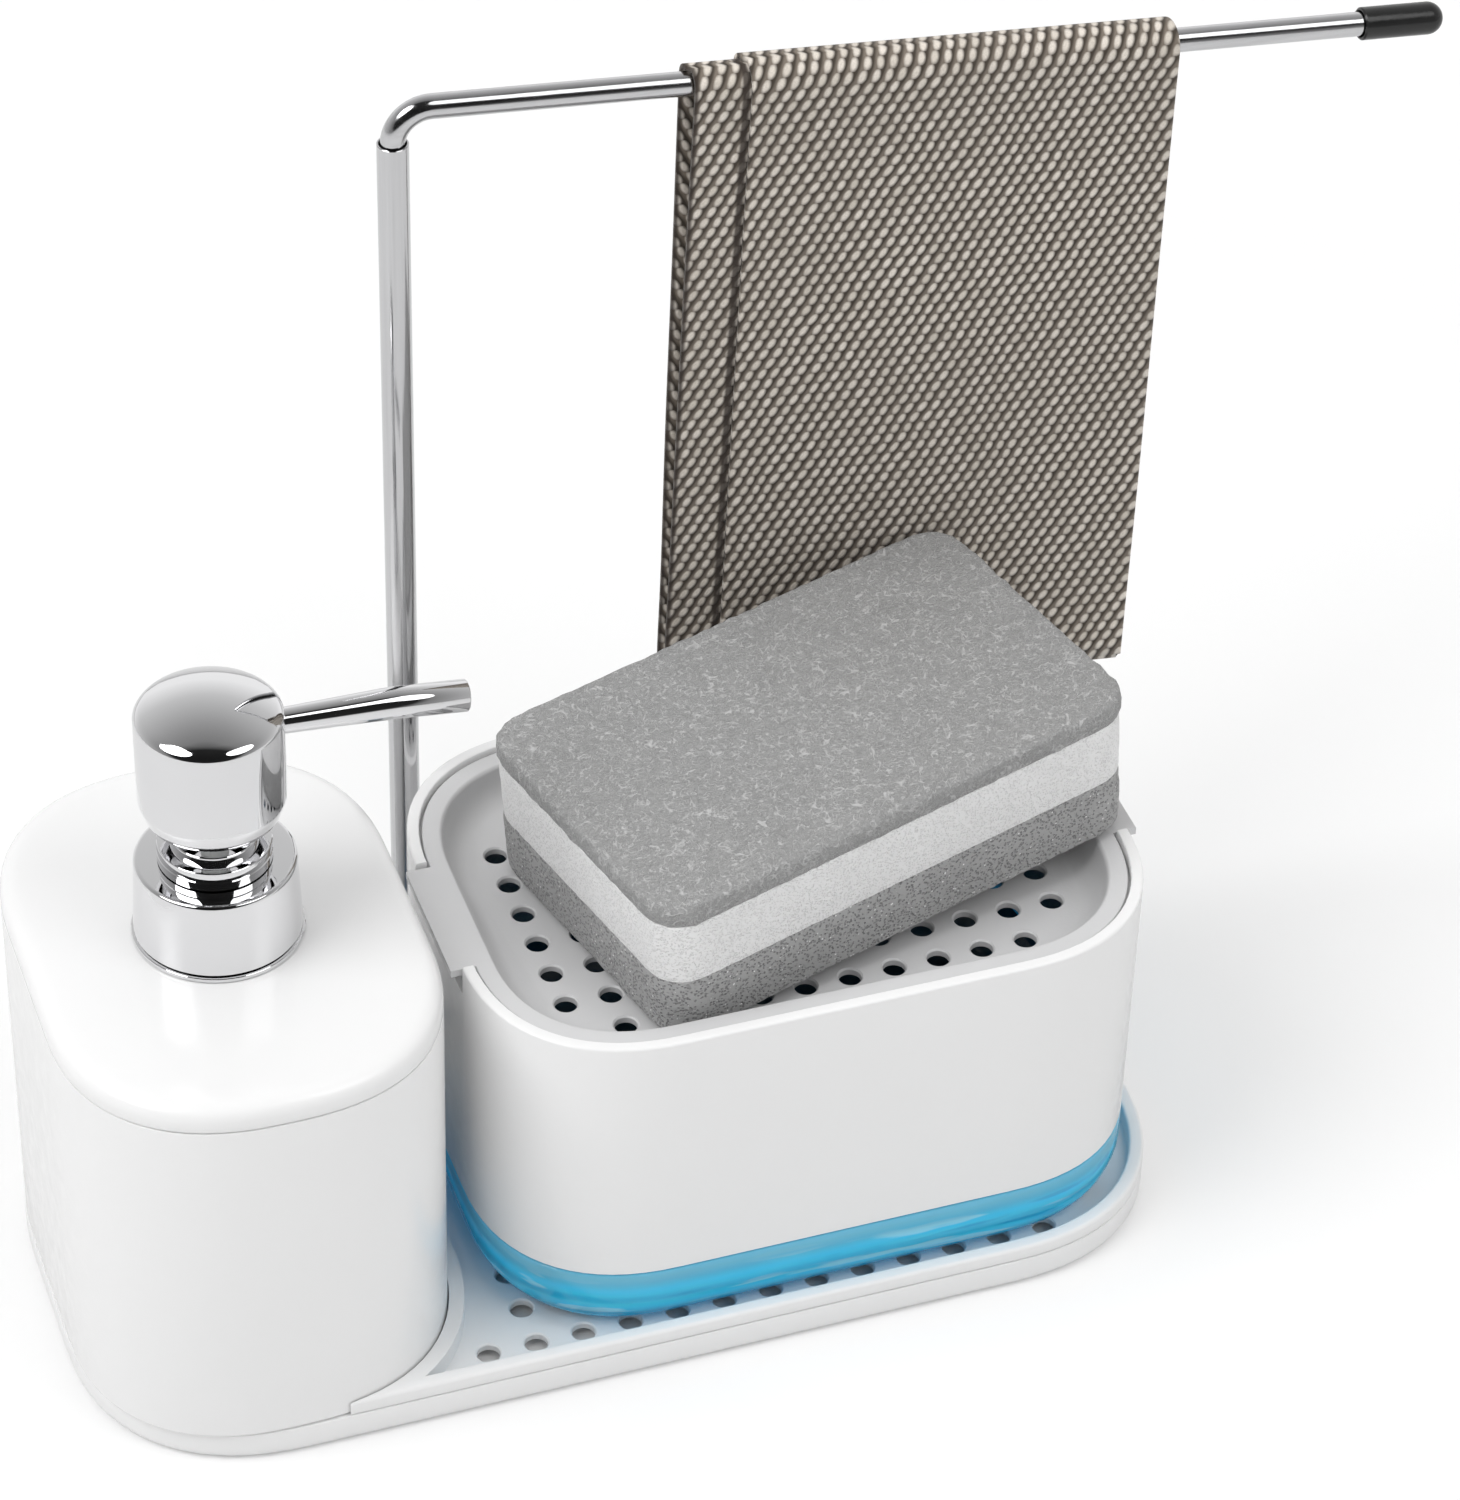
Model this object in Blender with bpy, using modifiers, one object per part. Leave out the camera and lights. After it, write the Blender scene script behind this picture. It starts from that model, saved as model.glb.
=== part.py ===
"""A sink-side set on one tray: a pump bottle, a sponge caddy over a drip basin, and a swinging towel rod.

Metres, +Z up. The origin is the middle of the tray's footprint on the table. +X runs along the tray
from the bottle to the caddy, and +Y points to the back, where the towel rod stands.
"""

import math

import bmesh
import bpy
from mathutils import Matrix, Vector

# Clearances
GAP = 0.0003
OVERRUN = 0.004

# Rounded outlines
CORNER_FULLNESS = 2.35
CORNER_STEPS = 5
ROUND_STEPS = 3

# Tray: a shallow pan and the drain insert that snaps into it
TRAY_HALF_X = 0.1145
TRAY_HALF_Y = 0.05385
PAN_TOP = 0.0069
PAN_WALL = 0.0022
PAN_FLOOR = 0.0024
PAN_FILLET = 0.0016
PAN_HEEL = 0.0024
PAD_RADIUS = 0.0055
PAD_THICKNESS = 0.0013
PAD_END_SPACE = 0.0295
PAD_X = TRAY_HALF_X - PAD_END_SPACE
PAD_SIDE_SPACE = 0.02285
PAD_Y = TRAY_HALF_Y - PAD_SIDE_SPACE
INSERT_TOP = 0.0105
INSERT_FLOOR_TOP = 0.0060
INSERT_PLATE = 0.0016
INSERT_RIM = 0.0030
INSERT_ROUND = 0.0007
FLOOR_HOLE_RADIUS = 0.0024
FLOOR_HOLE_MARGIN = 0.0045
FLOOR_HOLE_COLUMNS = 15
FLOOR_HOLE_ROWS = 10
HOLE_SIDES = 8

# Footprints: the bottle takes the tray's left end and the caddy the rest of its length
BOTTLE_HALF_X = 0.0382
BOTTLE_END_SPACE = 0.0001
BOTTLE_BACK_SPACE = 0.0037
BOTTLE_HALF_Y = TRAY_HALF_Y - BOTTLE_BACK_SPACE / 2
BOTTLE_FLAT = 0.0012
BOTTLE_CORNER = BOTTLE_HALF_X - BOTTLE_FLAT
BOTTLE_X = BOTTLE_HALF_X + BOTTLE_END_SPACE - TRAY_HALF_X
BOTTLE_Y = -BOTTLE_BACK_SPACE / 2
BOTTLE_RIGHT = BOTTLE_X + BOTTLE_HALF_X
TRAY_CORNER_EASE = 0.0038
TRAY_CORNER = BOTTLE_CORNER + TRAY_CORNER_EASE
CADDY_END_SPACE = 0.0059
CADDY_BOTTLE_SPACE = 0.0064
CADDY_SIDE_SPACE = 0.00425
CADDY_RIGHT = TRAY_HALF_X - CADDY_END_SPACE
CADDY_HALF_X = (CADDY_RIGHT - BOTTLE_RIGHT - CADDY_BOTTLE_SPACE) / 2
CADDY_HALF_Y = TRAY_HALF_Y - CADDY_SIDE_SPACE
CADDY_X = CADDY_RIGHT - CADDY_HALF_X
CADDY_CORNER_EASE = 0.0053
CADDY_CORNER = TRAY_CORNER - CADDY_CORNER_EASE

# The insert's hole grid starts beside the bottle and reaches the tray's other three sides
FLOOR_HOLE_BOTTLE_SPACE = 0.0027
FLOOR_HOLE_END_SPACE = 0.0105
FLOOR_HOLE_SIDE_SPACE = 0.00905
FLOOR_HOLE_FIRST_X = BOTTLE_RIGHT + FLOOR_HOLE_BOTTLE_SPACE
FLOOR_HOLE_FIRST_Y = FLOOR_HOLE_SIDE_SPACE - TRAY_HALF_Y
FLOOR_HOLE_LAST_X = TRAY_HALF_X - FLOOR_HOLE_END_SPACE
FLOOR_HOLE_PITCH_X = (FLOOR_HOLE_LAST_X - FLOOR_HOLE_FIRST_X) / (FLOOR_HOLE_COLUMNS - 1)
FLOOR_HOLE_PITCH_Y = -2 * FLOOR_HOLE_FIRST_Y / (FLOOR_HOLE_ROWS - 1)

# Towel post: a thin tube in a boss of the pan, held by a screw from below
POST_BOTTLE_SPACE = 0.0129
POST_X = BOTTLE_RIGHT + POST_BOTTLE_SPACE
POST_BACK_SPACE = 0.00785
POST_Y = TRAY_HALF_Y - POST_BACK_SPACE
POST_RADIUS = 0.00305
POST_BORE = 0.0027
POST_TOP = 0.2339
BOSS_WALL = 0.0016
BOSS_TOP = 0.0095
PLUG_HEIGHT = 0.012
SCREW_RADIUS = 0.0015
SCREW_HEAD_RADIUS = 0.0024
SCREW_HEAD_HEIGHT = 0.0009
SCREW_LENGTH = 0.0070

# Towel rod: one bent wire and its end cap
ROD_RADIUS = 0.0024
ROD_RISE = 0.0073
ROD_HEIGHT = POST_TOP + ROD_RISE
ROD_LENGTH = 0.2098
ROD_BEND = 0.0070
ROD_YAW = math.radians(-0.46)
ROD_DROOP = math.radians(4.5)
ROD_SIDES_RESOLUTION = 4
BEND_STEPS = 6
CAP_LENGTH = 0.0177
CAP_NOSE = 0.0050
CAP_RADIUS = 0.00325

# Towel: one cloth folded double along its length and hung over the rod
TOWEL_START = 0.0554
TOWEL_STRIP = 0.0111
TOWEL_WIDTH = 0.1021
CLOTH = 0.0011
TOWEL_FRONT_DROP = 0.1565
TOWEL_BACK_DROP = 0.1500
TOWEL_LEAN = 0.0102
TOWEL_LEAN_DROP = 0.1370
TOWEL_LAYER_SPACE = 0.0006
TOWEL_FOLD_DEPTH = 0.0006
TOWEL_PANEL_STEPS = 8
TOWEL_ACROSS_STEPS = 9
TOWEL_OVER_STEPS = 6

# Bottle: an open body with a spigot in the pan, and its lid
BOTTLE_WALL = 0.0022
BOTTLE_SEAM = 0.0893
SPIGOT_INSET = 0.0050
BOTTLE_SHOULDER = 0.0004
LID_HEIGHT = 0.0053
LID_TOP = BOTTLE_SEAM + LID_HEIGHT
LID_ROUND_DROP = 0.0038
LID_ROUND_IN = 0.0042
LID_SKIRT_DEPTH = 0.0045
LID_SKIRT_WALL = 0.0014
LID_PLATE = 0.0022
NECK_RADIUS = 0.0125
NECK_BORE = 0.0105
NECK_RISE = 0.0123
NECK_TOP = LID_TOP + NECK_RISE
NECK_FLANGE_RADIUS = 0.0150
NECK_FLANGE_HEIGHT = 0.0017
NECK_FOOT = 0.0045

# Pump: everything turned about the bottle's axis
TURN_STEPS = 24
SMALL_TURN_STEPS = 12
BASE_RING_RADIUS = 0.0168
BASE_RING_HEIGHT = 0.0008
COLLAR_FOOT_RADIUS = 0.0164
COLLAR_TOP_RADIUS = 0.0157
COLLAR_RISE = 0.0181
COLLAR_TOP = LID_TOP + COLLAR_RISE
COLLAR_BORE = 0.0131
COLLAR_PLATE = 0.0021
COLLAR_ROUND = 0.0009
GASKET_THICKNESS = 0.0010
GASKET_BORE = 0.0083
SLEEVE_RADIUS = 0.0111
SLEEVE_STEP_HEIGHT = 0.0045
SLEEVE_NOSE_RADIUS = 0.0086
SLEEVE_NOSE_HEIGHT = 0.0018
SLEEVE_BORE = 0.0036
SLEEVE_SKIRT = 0.0023
HOUSING_RADIUS = 0.0075
HOUSING_BORE = 0.0063
HOUSING_DEPTH = 0.0509
HOUSING_FLOOR = NECK_TOP - HOUSING_DEPTH
HOUSING_BASE = 0.0020
CAGE_RADIUS = 0.0037
CAGE_BORE = 0.0030
CAGE_LIP_BORE = 0.0015
CAGE_LIP = 0.0010
HOSE_SOCKET_RADIUS = 0.0040
HOSE_SOCKET_DEPTH = 0.0100
INLET_BORE = 0.0014
BALL_RADIUS = 0.0022
BALL_LIFT = 0.0015
HOSE_RADIUS = 0.0024
HOSE_BORE = 0.0016
HOSE_CLEAR_OF_FLOOR = 0.0040
STROKE = 0.0105
PISTON_DEPTH = 0.0219
PISTON_TOP = NECK_TOP - PISTON_DEPTH
PISTON_HEIGHT = 0.0060
PISTON_BORE = 0.0016
SEAL_HEIGHT = 0.0018
SEAL_DEPTH = 0.0012
STEM_RADIUS = 0.0032
STEM_BORE = 0.0016
SPRING_RADIUS = 0.0049
SPRING_WIRE = 0.00045
SPRING_TURNS = 7
SPRING_POINTS_PER_TURN = 8
PRESS_MARGIN = 0.0012
HEAD_FOOT = COLLAR_TOP + STROKE + PRESS_MARGIN
STEM_REACH = 0.0146
STEM_TOP = HEAD_FOOT + STEM_REACH
HEAD_FOOT_RADIUS = 0.0131
HEAD_RADIUS = 0.0142
HEAD_CHAMFER_HEIGHT = 0.0035
HEAD_SIDE_HEIGHT = 0.0222
HEAD_EDGE_HEIGHT = 0.0018
HEAD_EDGE_RADIUS = 0.0128
HEAD_DOME_HEIGHT = 0.0034
HEAD_HOLLOW = 0.0122
HEAD_HOLLOW_DEPTH = 0.0116
HEAD_BOSS_RADIUS = 0.0054
SPOUT_RADIUS = 0.00315
SPOUT_ROOT_RADIUS = 0.00255
SPOUT_BORE = 0.0017
SPOUT_ROOT_X = 0.0070
SPOUT_RISE = 0.0178
SPOUT_HEIGHT = HEAD_FOOT + SPOUT_RISE
SPOUT_ELBOW_X = 0.0367
SPOUT_ELBOW_DROP = 0.0010
SPOUT_TIP_X = 0.0502
SPOUT_TIP_DROP = 0.0025

# Sponge caddy: basin, shell and strainer share one outline
BASIN_STAND = 0.0012
BASIN_BOTTOM = INSERT_FLOOR_TOP + BASIN_STAND
BASIN_WALL = 0.0022
BASIN_FLOOR = 0.0020
BASIN_HEEL_INSET = 0.0044
BASIN_HEEL_HEIGHT = 0.0080
BASIN_SEAM = 0.0228
BASIN_LIP_HEIGHT = 0.0070
BASIN_FOOT_RADIUS = 0.0030
BASIN_FOOT_END_SPACE = 0.0241
BASIN_FOOT_X = CADDY_HALF_X - BASIN_FOOT_END_SPACE
BASIN_FOOT_SIDE_SPACE = 0.0236
BASIN_FOOT_Y = CADDY_HALF_Y - BASIN_FOOT_SIDE_SPACE
BASIN_BOSS_RADIUS = 0.0048
BASIN_BOSS_HEIGHT = 0.0110
BASIN_BOSS_SIDE_SPACE = 0.0146
BASIN_BOSS_MIDDLE_X = -0.0115
BASIN_BOSS_RIGHT_SPACE = 0.0331
BASIN_BOSS_LEFT_SPACE = 0.0201
BASIN_BOSS_CORNER_SPACE = 0.0266
BASIN_RIB_END_SPACE = 0.0301
BASIN_RIB_HALF_LENGTH = CADDY_HALF_X - BASIN_RIB_END_SPACE
BASIN_RIB_HALF_WIDTH = 0.0008
BASIN_RIB_HEIGHT = 0.0045
BASIN_RIB_SIDE_SPACE = 0.0226
BASIN_RIB_Y = BASIN_RIB_SIDE_SPACE - CADDY_HALF_Y
SHELL_WALL = 0.0024
SHELL_TOP = 0.0839
SHELL_RIM_ROUND = 0.0006
LEDGE_WIDTH = 0.0020
LEDGE_DROP = 0.0035
STRAINER_EDGE_GAP = 0.0005
STRAINER_SUNK = 0.0010
STRAINER_TOP = SHELL_TOP - STRAINER_SUNK
STRAINER_PLATE = 0.0016
STRAINER_DEPTH = 0.0074
STRAINER_FLOOR_TOP = STRAINER_TOP - STRAINER_DEPTH
STRAINER_RECESS_INSET = 0.0066
STRAINER_FLOOR_INSET = 0.0118
STRAINER_WALL_INSET = 0.0050
STRAINER_HOLE_RADIUS = 0.0023
STRAINER_COLUMNS = 12
STRAINER_ROWS = 8
STRAINER_HOLE_END_SPACE = 0.01895
STRAINER_HOLE_SIDE_SPACE = 0.01705
STRAINER_HOLE_PITCH_X = 2 * (CADDY_HALF_X - STRAINER_HOLE_END_SPACE) / (STRAINER_COLUMNS - 1)
STRAINER_HOLE_PITCH_Y = 2 * (CADDY_HALF_Y - STRAINER_HOLE_SIDE_SPACE) / (STRAINER_ROWS - 1)
TAB_HALF_WIDTH = 0.0155
TAB_REACH = 0.0021
TAB_ROOT = 0.0040
NOTCH_SIDE_GAP = 0.0006
NOTCH_DEPTH = 0.0070

# Sponge: scouring pad and two foams, resting with its right end on the strainer's edge
SPONGE_RIGHT_SHIFT = 0.0086
SPONGE_X = CADDY_X + SPONGE_RIGHT_SHIFT
SPONGE_Y = 0.0034
SPONGE_YAW = math.radians(14.1)
SPONGE_LEFT_REST = 0.0014
SPONGE_RIGHT_REST = 0.0016
SPONGE_END_SPACE = 0.0149
SPONGE_HALF_X = CADDY_HALF_X - SPONGE_END_SPACE
SPONGE_SIDE_SPACE = 0.0160
SPONGE_HALF_Y = CADDY_HALF_Y - SPONGE_SIDE_SPACE
SPONGE_CORNER = 0.0090
SPONGE_HALF_Z = 0.0165
DARK_FOAM = 0.0138
LIGHT_FOAM = 0.0146
SPONGE_EDGE = 0.0012

WHITE = (0.86, 0.86, 0.87)
GREY_PLASTIC = (0.62, 0.62, 0.63)
CHROME = (0.78, 0.78, 0.80)
STEEL = (0.60, 0.60, 0.61)
RUBBER = (0.05, 0.05, 0.05)
CLEAR_BLUE = (0.06, 0.52, 0.86)


def clear_scene():
    for obj in list(bpy.data.objects):
        bpy.data.objects.remove(obj, do_unlink=True)


def new_collection(name, hidden=False):
    collection = bpy.data.collections.new(name)
    bpy.context.scene.collection.children.link(collection)
    collection.hide_render = hidden
    return collection


clear_scene()
PARTS = new_collection("sink_side_set")
CUTTERS = new_collection("cutters", hidden=True)


def finish(obj, colour, roughness, metallic=0.0, alpha=1.0):
    """Give the object its own material."""
    material = bpy.data.materials.new(obj.name + "_finish")
    material.use_nodes = True
    shader = material.node_tree.nodes["Principled BSDF"]
    shader.inputs["Base Color"].default_value = (*colour, 1.0)
    shader.inputs["Roughness"].default_value = roughness
    shader.inputs["Metallic"].default_value = metallic
    shader.inputs["Alpha"].default_value = alpha
    material.diffuse_color = (*colour, alpha)
    obj.data.materials.append(material)
    return obj


def frame(name, x, y, z, rotation=(0.0, 0.0, 0.0)):
    """An empty on a body's axis, which carries that body's pieces."""
    empty = bpy.data.objects.new(name, None)
    empty.location = (x, y, z)
    empty.rotation_euler = rotation
    PARTS.objects.link(empty)
    return empty


def place(name, mesh, parent, collection=None):
    obj = bpy.data.objects.new(name, mesh)
    obj.parent = parent
    (collection or PARTS).objects.link(obj)
    return obj


def shade(mesh, angle=math.radians(38)):
    mesh.shade_smooth()
    mesh.set_sharp_from_angle(angle=angle)


def hide_cutter(obj):
    obj.hide_render = True
    obj.display_type = "WIRE"
    return obj


def combine(obj, tool, operation):
    modifier = obj.modifiers.new(tool.name, "BOOLEAN")
    modifier.operation = operation
    modifier.solver = "EXACT"
    modifier.object = tool


def cut(obj, tool):
    combine(obj, tool, "DIFFERENCE")


def join(obj, tool):
    combine(obj, tool, "UNION")


# Outlines and lofts


def outline(half_x, half_y, corner, inset=0.0):
    """A rounded rectangle with full, superelliptic corners, anticlockwise from its +X side."""
    power = 2.0 / CORNER_FULLNESS
    radius = corner - inset
    points = []
    for quarter in range(4):
        side_x = 1 if quarter in (0, 3) else -1
        side_y = 1 if quarter in (0, 1) else -1
        for step in range(CORNER_STEPS + 1):
            turn = step if quarter in (0, 2) else CORNER_STEPS - step
            angle = math.pi / 2 * turn / CORNER_STEPS
            along = max(math.cos(angle), 0.0) ** power
            across = max(math.sin(angle), 0.0) ** power
            x = half_x - corner + radius * along
            y = half_y - corner + radius * across
            points.append((side_x * x, side_y * y))
    return points


def inside(x, y, half_x, half_y, corner, inset=0.0):
    """Whether a point lies inside the outline drawn in by inset."""
    radius = corner - inset
    along = max(abs(x) - (half_x - corner), 0.0) / radius
    across = max(abs(y) - (half_y - corner), 0.0) / radius
    return along**CORNER_FULLNESS + across**CORNER_FULLNESS <= 1.0


def rounded(start, corner, end, steps=ROUND_STEPS):
    """Points of a soft corner between two (inset, height) points of a wall's section."""
    points = []
    for step in range(steps + 1):
        share = step / steps
        points.append(
            tuple(
                (1 - share) ** 2 * a + 2 * share * (1 - share) * b + share**2 * c
                for a, b, c in zip(start, corner, end)
            )
        )
    return points


def loft(name, rings, loop=False):
    """A solid through rings of equal counts, capped at both ends or closed on itself."""
    shape = bmesh.new()
    rows = [[shape.verts.new(point) for point in ring] for ring in rings]
    pairs = list(zip(rows, rows[1:]))
    if loop:
        pairs.append((rows[-1], rows[0]))
    else:
        shape.faces.new(rows[0])
        shape.faces.new(rows[-1])
    for low, high in pairs:
        for index, corner in enumerate(low):
            after = (index + 1) % len(low)
            shape.faces.new((corner, low[after], high[after], high[index]))
    bmesh.ops.recalc_face_normals(shape, faces=shape.faces)
    mesh = bpy.data.meshes.new(name)
    shape.to_mesh(mesh)
    shape.free()
    shade(mesh)
    return mesh


def walled(name, size, section, loop=False):
    """A moulded wall: the outline of size (half x, half y, corner) swept through its section."""
    rings = []
    for inset, height in section:
        rings.append([(x, y, height) for x, y in outline(*size, inset)])
    return loft(name, rings, loop)


# Turned pieces, bars, tubes and blocks


def turned(name, profile, parent, ring=False, steps=TURN_STEPS, collection=None):
    """A piece turned about Z. The profile of (radius, height) runs down its outer side."""
    count = len(profile)
    edges = [(index, index + 1) for index in range(count - 1)]
    if ring:
        edges.append((count - 1, 0))
    mesh = bpy.data.meshes.new(name)
    mesh.from_pydata([(radius, 0.0, height) for radius, height in profile], edges, [])
    obj = place(name, mesh, parent, collection)
    screw = obj.modifiers.new("turning", "SCREW")
    screw.steps = screw.render_steps = steps
    screw.use_merge_vertices = True
    screw.merge_threshold = 0.00001
    screw.use_smooth_shade = True
    return obj


def ring_of(name, outer, bore, foot, top, parent, steps=TURN_STEPS):
    profile = [(outer, top), (outer, foot), (bore, foot), (bore, top)]
    return turned(name, profile, parent, ring=True, steps=steps)


def cylinders(name, radius, low, high, centres, parent, sides=HOLE_SIDES):
    """One hidden tool holding an upright cylinder at each centre."""
    shape = bmesh.new()
    for x, y in centres:
        bmesh.ops.create_cone(
            shape,
            cap_ends=True,
            segments=sides,
            radius1=radius,
            radius2=radius,
            depth=high - low,
            matrix=Matrix.Translation((x, y, (low + high) / 2)),
        )
    mesh = bpy.data.meshes.new(name)
    shape.to_mesh(mesh)
    shape.free()
    return hide_cutter(place(name, mesh, parent, CUTTERS))


def block(name, low, high, parent):
    """A hidden box between two opposite corners."""
    low, high = Vector(low), Vector(high)
    shape = bmesh.new()
    bmesh.ops.create_cube(shape, size=1.0)
    bmesh.ops.scale(shape, vec=high - low, verts=shape.verts)
    bmesh.ops.translate(shape, vec=(low + high) / 2, verts=shape.verts)
    mesh = bpy.data.meshes.new(name)
    shape.to_mesh(mesh)
    shape.free()
    return hide_cutter(place(name, mesh, parent, CUTTERS))


def wire(name, points, radius, parent, resolution=ROD_SIDES_RESOLUTION, shares=None):
    """A closed round bar along the points; shares gives the part of the radius at each of them."""
    curve = bpy.data.curves.new(name, "CURVE")
    curve.dimensions = "3D"
    curve.bevel_depth = radius
    curve.bevel_resolution = resolution
    curve.use_fill_caps = True
    spline = curve.splines.new("POLY")
    spline.points.add(len(points) - 1)
    for point, target in zip(spline.points, points):
        point.co = (*target, 1.0)
    for point, share in zip(spline.points, shares or []):
        point.radius = share
    draft = place(name + "_path", curve, parent)
    bpy.context.view_layer.update()
    evaluated = draft.evaluated_get(bpy.context.evaluated_depsgraph_get())
    mesh = bpy.data.meshes.new_from_object(evaluated)
    shape = bmesh.new()
    shape.from_mesh(mesh)
    bmesh.ops.remove_doubles(shape, verts=shape.verts, dist=0.00001)
    bmesh.ops.recalc_face_normals(shape, faces=shape.faces)
    shape.to_mesh(mesh)
    shape.free()
    shade(mesh)
    bpy.data.objects.remove(draft, do_unlink=True)
    mesh.name = name
    return place(name, mesh, parent)


def arc(centre, start, end, steps):
    """Points from start to end on the circle about centre, by turning one arm into the other."""
    arm, last = Vector(start) - Vector(centre), Vector(end) - Vector(centre)
    turns = [arm.slerp(last, step / steps).normalized() for step in range(steps + 1)]
    return [Vector(centre) + turn * arm.length for turn in turns]


# Tray


def base_pan(parent):
    """The shallow outer pan, with pockets for its pads and the boss that holds the post."""
    size = (TRAY_HALF_X, TRAY_HALF_Y, TRAY_CORNER)
    section = [(PAN_HEEL * 2, 0.0)]
    section += rounded((PAN_HEEL, 0.0), (0.0, 0.0), (0.0, PAN_HEEL))
    section += [(0.0, PAN_TOP), (PAN_WALL, PAN_TOP)]
    section += rounded(
        (PAN_WALL, PAN_FLOOR + PAN_FILLET), (PAN_WALL, PAN_FLOOR), (PAN_WALL + PAN_FILLET, PAN_FLOOR)
    )
    pan = place("base_pan", walled("base_pan", size, section), parent)
    boss_radius = POST_RADIUS + GAP + BOSS_WALL
    centre = [(POST_X, POST_Y)]
    join(pan, cylinders("post_boss", boss_radius, PAN_FLOOR / 2, BOSS_TOP, centre, parent, TURN_STEPS))
    bore_top = BOSS_TOP + OVERRUN
    cut(pan, cylinders("post_bore", POST_RADIUS + GAP, PAN_FLOOR, bore_top, centre, parent, TURN_STEPS))
    over = PAN_FLOOR + OVERRUN
    hole = cylinders("screw_hole", SCREW_RADIUS + GAP, -OVERRUN, over, centre, parent, SMALL_TURN_STEPS)
    cut(pan, hole)
    sink_top = GAP + SCREW_HEAD_HEIGHT
    sink_radius = SCREW_HEAD_RADIUS + GAP
    sink = cylinders("screw_sink", sink_radius, -OVERRUN, sink_top, centre, parent, SMALL_TURN_STEPS)
    cut(pan, sink)
    places = [(side_x * PAD_X, side_y * PAD_Y) for side_x in (-1, 1) for side_y in (-1, 1)]
    pockets = cylinders(
        "pad_pockets", PAD_RADIUS + GAP, -OVERRUN, PAD_THICKNESS + GAP, places, parent, SMALL_TURN_STEPS
    )
    cut(pan, pockets)
    finish(pan, WHITE, 0.25)


def foot_pads(parent):
    for along, side_x in (("left", -1), ("right", 1)):
        for across, side_y in (("front", -1), ("back", 1)):
            name = f"foot_pad_{across}_{along}"
            seat = frame(name + "_seat", side_x * PAD_X, side_y * PAD_Y, 0.0)
            seat.parent = parent
            profile = [(0.0, PAD_THICKNESS), (PAD_RADIUS, PAD_THICKNESS), (PAD_RADIUS, 0.0), (0.0, 0.0)]
            finish(turned(name, profile, seat, steps=SMALL_TURN_STEPS), RUBBER, 0.8)


def floor_hole_places():
    """The insert's grid of holes, kept clear of its rims and of the basin that stands on it."""
    bottle = (BOTTLE_HALF_X, BOTTLE_HALF_Y, BOTTLE_CORNER)
    tray = (TRAY_HALF_X, TRAY_HALF_Y, TRAY_CORNER)
    caddy = (CADDY_HALF_X, CADDY_HALF_Y, CADDY_CORNER)
    reach = INSERT_RIM + FLOOR_HOLE_MARGIN
    boss = POST_RADIUS + BOSS_WALL + FLOOR_HOLE_RADIUS + INSERT_RIM
    places = []
    for column in range(FLOOR_HOLE_COLUMNS):
        for row in range(FLOOR_HOLE_ROWS):
            x = FLOOR_HOLE_FIRST_X + FLOOR_HOLE_PITCH_X * column
            y = FLOOR_HOLE_FIRST_Y + FLOOR_HOLE_PITCH_Y * row
            on_floor = inside(x, y, *tray, reach) and not inside(x - BOTTLE_X, y - BOTTLE_Y, *bottle, -reach)
            covered = inside(x - CADDY_X, y, *caddy, BASIN_HEEL_INSET * 2)
            if on_floor and not covered and math.hypot(x - POST_X, y - POST_Y) > boss:
                places.append((x, y))
    return places


def drain_insert(parent):
    """The perforated floor that snaps into the pan, with a raised rim that also goes round the bottle."""
    tray = (TRAY_HALF_X, TRAY_HALF_Y, TRAY_CORNER)
    bottle = (BOTTLE_HALF_X, BOTTLE_HALF_Y, BOTTLE_CORNER)
    underside = INSERT_FLOOR_TOP - INSERT_PLATE
    seat = PAN_TOP + GAP
    section = [(PAN_WALL + GAP + INSERT_PLATE, underside), (PAN_WALL + GAP, underside + INSERT_PLATE / 2)]
    section += [(PAN_WALL + GAP, seat), (0.0, seat)]
    section += rounded((0.0, INSERT_TOP - INSERT_ROUND), (0.0, INSERT_TOP), (INSERT_ROUND, INSERT_TOP))
    insert = place("drain_insert", walled("drain_insert", tray, section), parent)

    axis = frame("bottle_recess_axis", BOTTLE_X, BOTTLE_Y, 0.0)
    axis.parent = parent
    low, high = -OVERRUN, INSERT_TOP + OVERRUN

    def bottle_tool(name, outset):
        mesh = walled(name, bottle, [(-outset, low), (-outset, high)])
        tool = hide_cutter(place(name, mesh, axis, CUTTERS))
        left = -(TRAY_HALF_X + BOTTLE_X) - OVERRUN
        side = TRAY_HALF_Y + abs(BOTTLE_Y) + OVERRUN
        join(tool, block(name + "_side", (left, -side, low), (0.0, side, high), axis))
        return tool

    floor_section = [(INSERT_RIM + INSERT_ROUND, INSERT_FLOOR_TOP)]
    floor_section += [(INSERT_RIM, INSERT_FLOOR_TOP + INSERT_ROUND), (INSERT_RIM, high)]
    pocket_mesh = walled("insert_pocket", tray, floor_section)
    pocket = hide_cutter(place("insert_pocket", pocket_mesh, parent, CUTTERS))
    cut(pocket, bottle_tool("bottle_rim_keep", GAP + INSERT_RIM))
    cut(insert, pocket)
    cut(insert, bottle_tool("bottle_recess", GAP))
    boss_clear = POST_RADIUS + GAP + BOSS_WALL + GAP
    centre = [(POST_X, POST_Y)]
    cut(insert, cylinders("boss_opening", boss_clear, low, high, centre, parent, TURN_STEPS))
    cut(insert, cylinders("floor_holes", FLOOR_HOLE_RADIUS, low, high, floor_hole_places(), parent))
    finish(insert, WHITE, 0.25)


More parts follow.
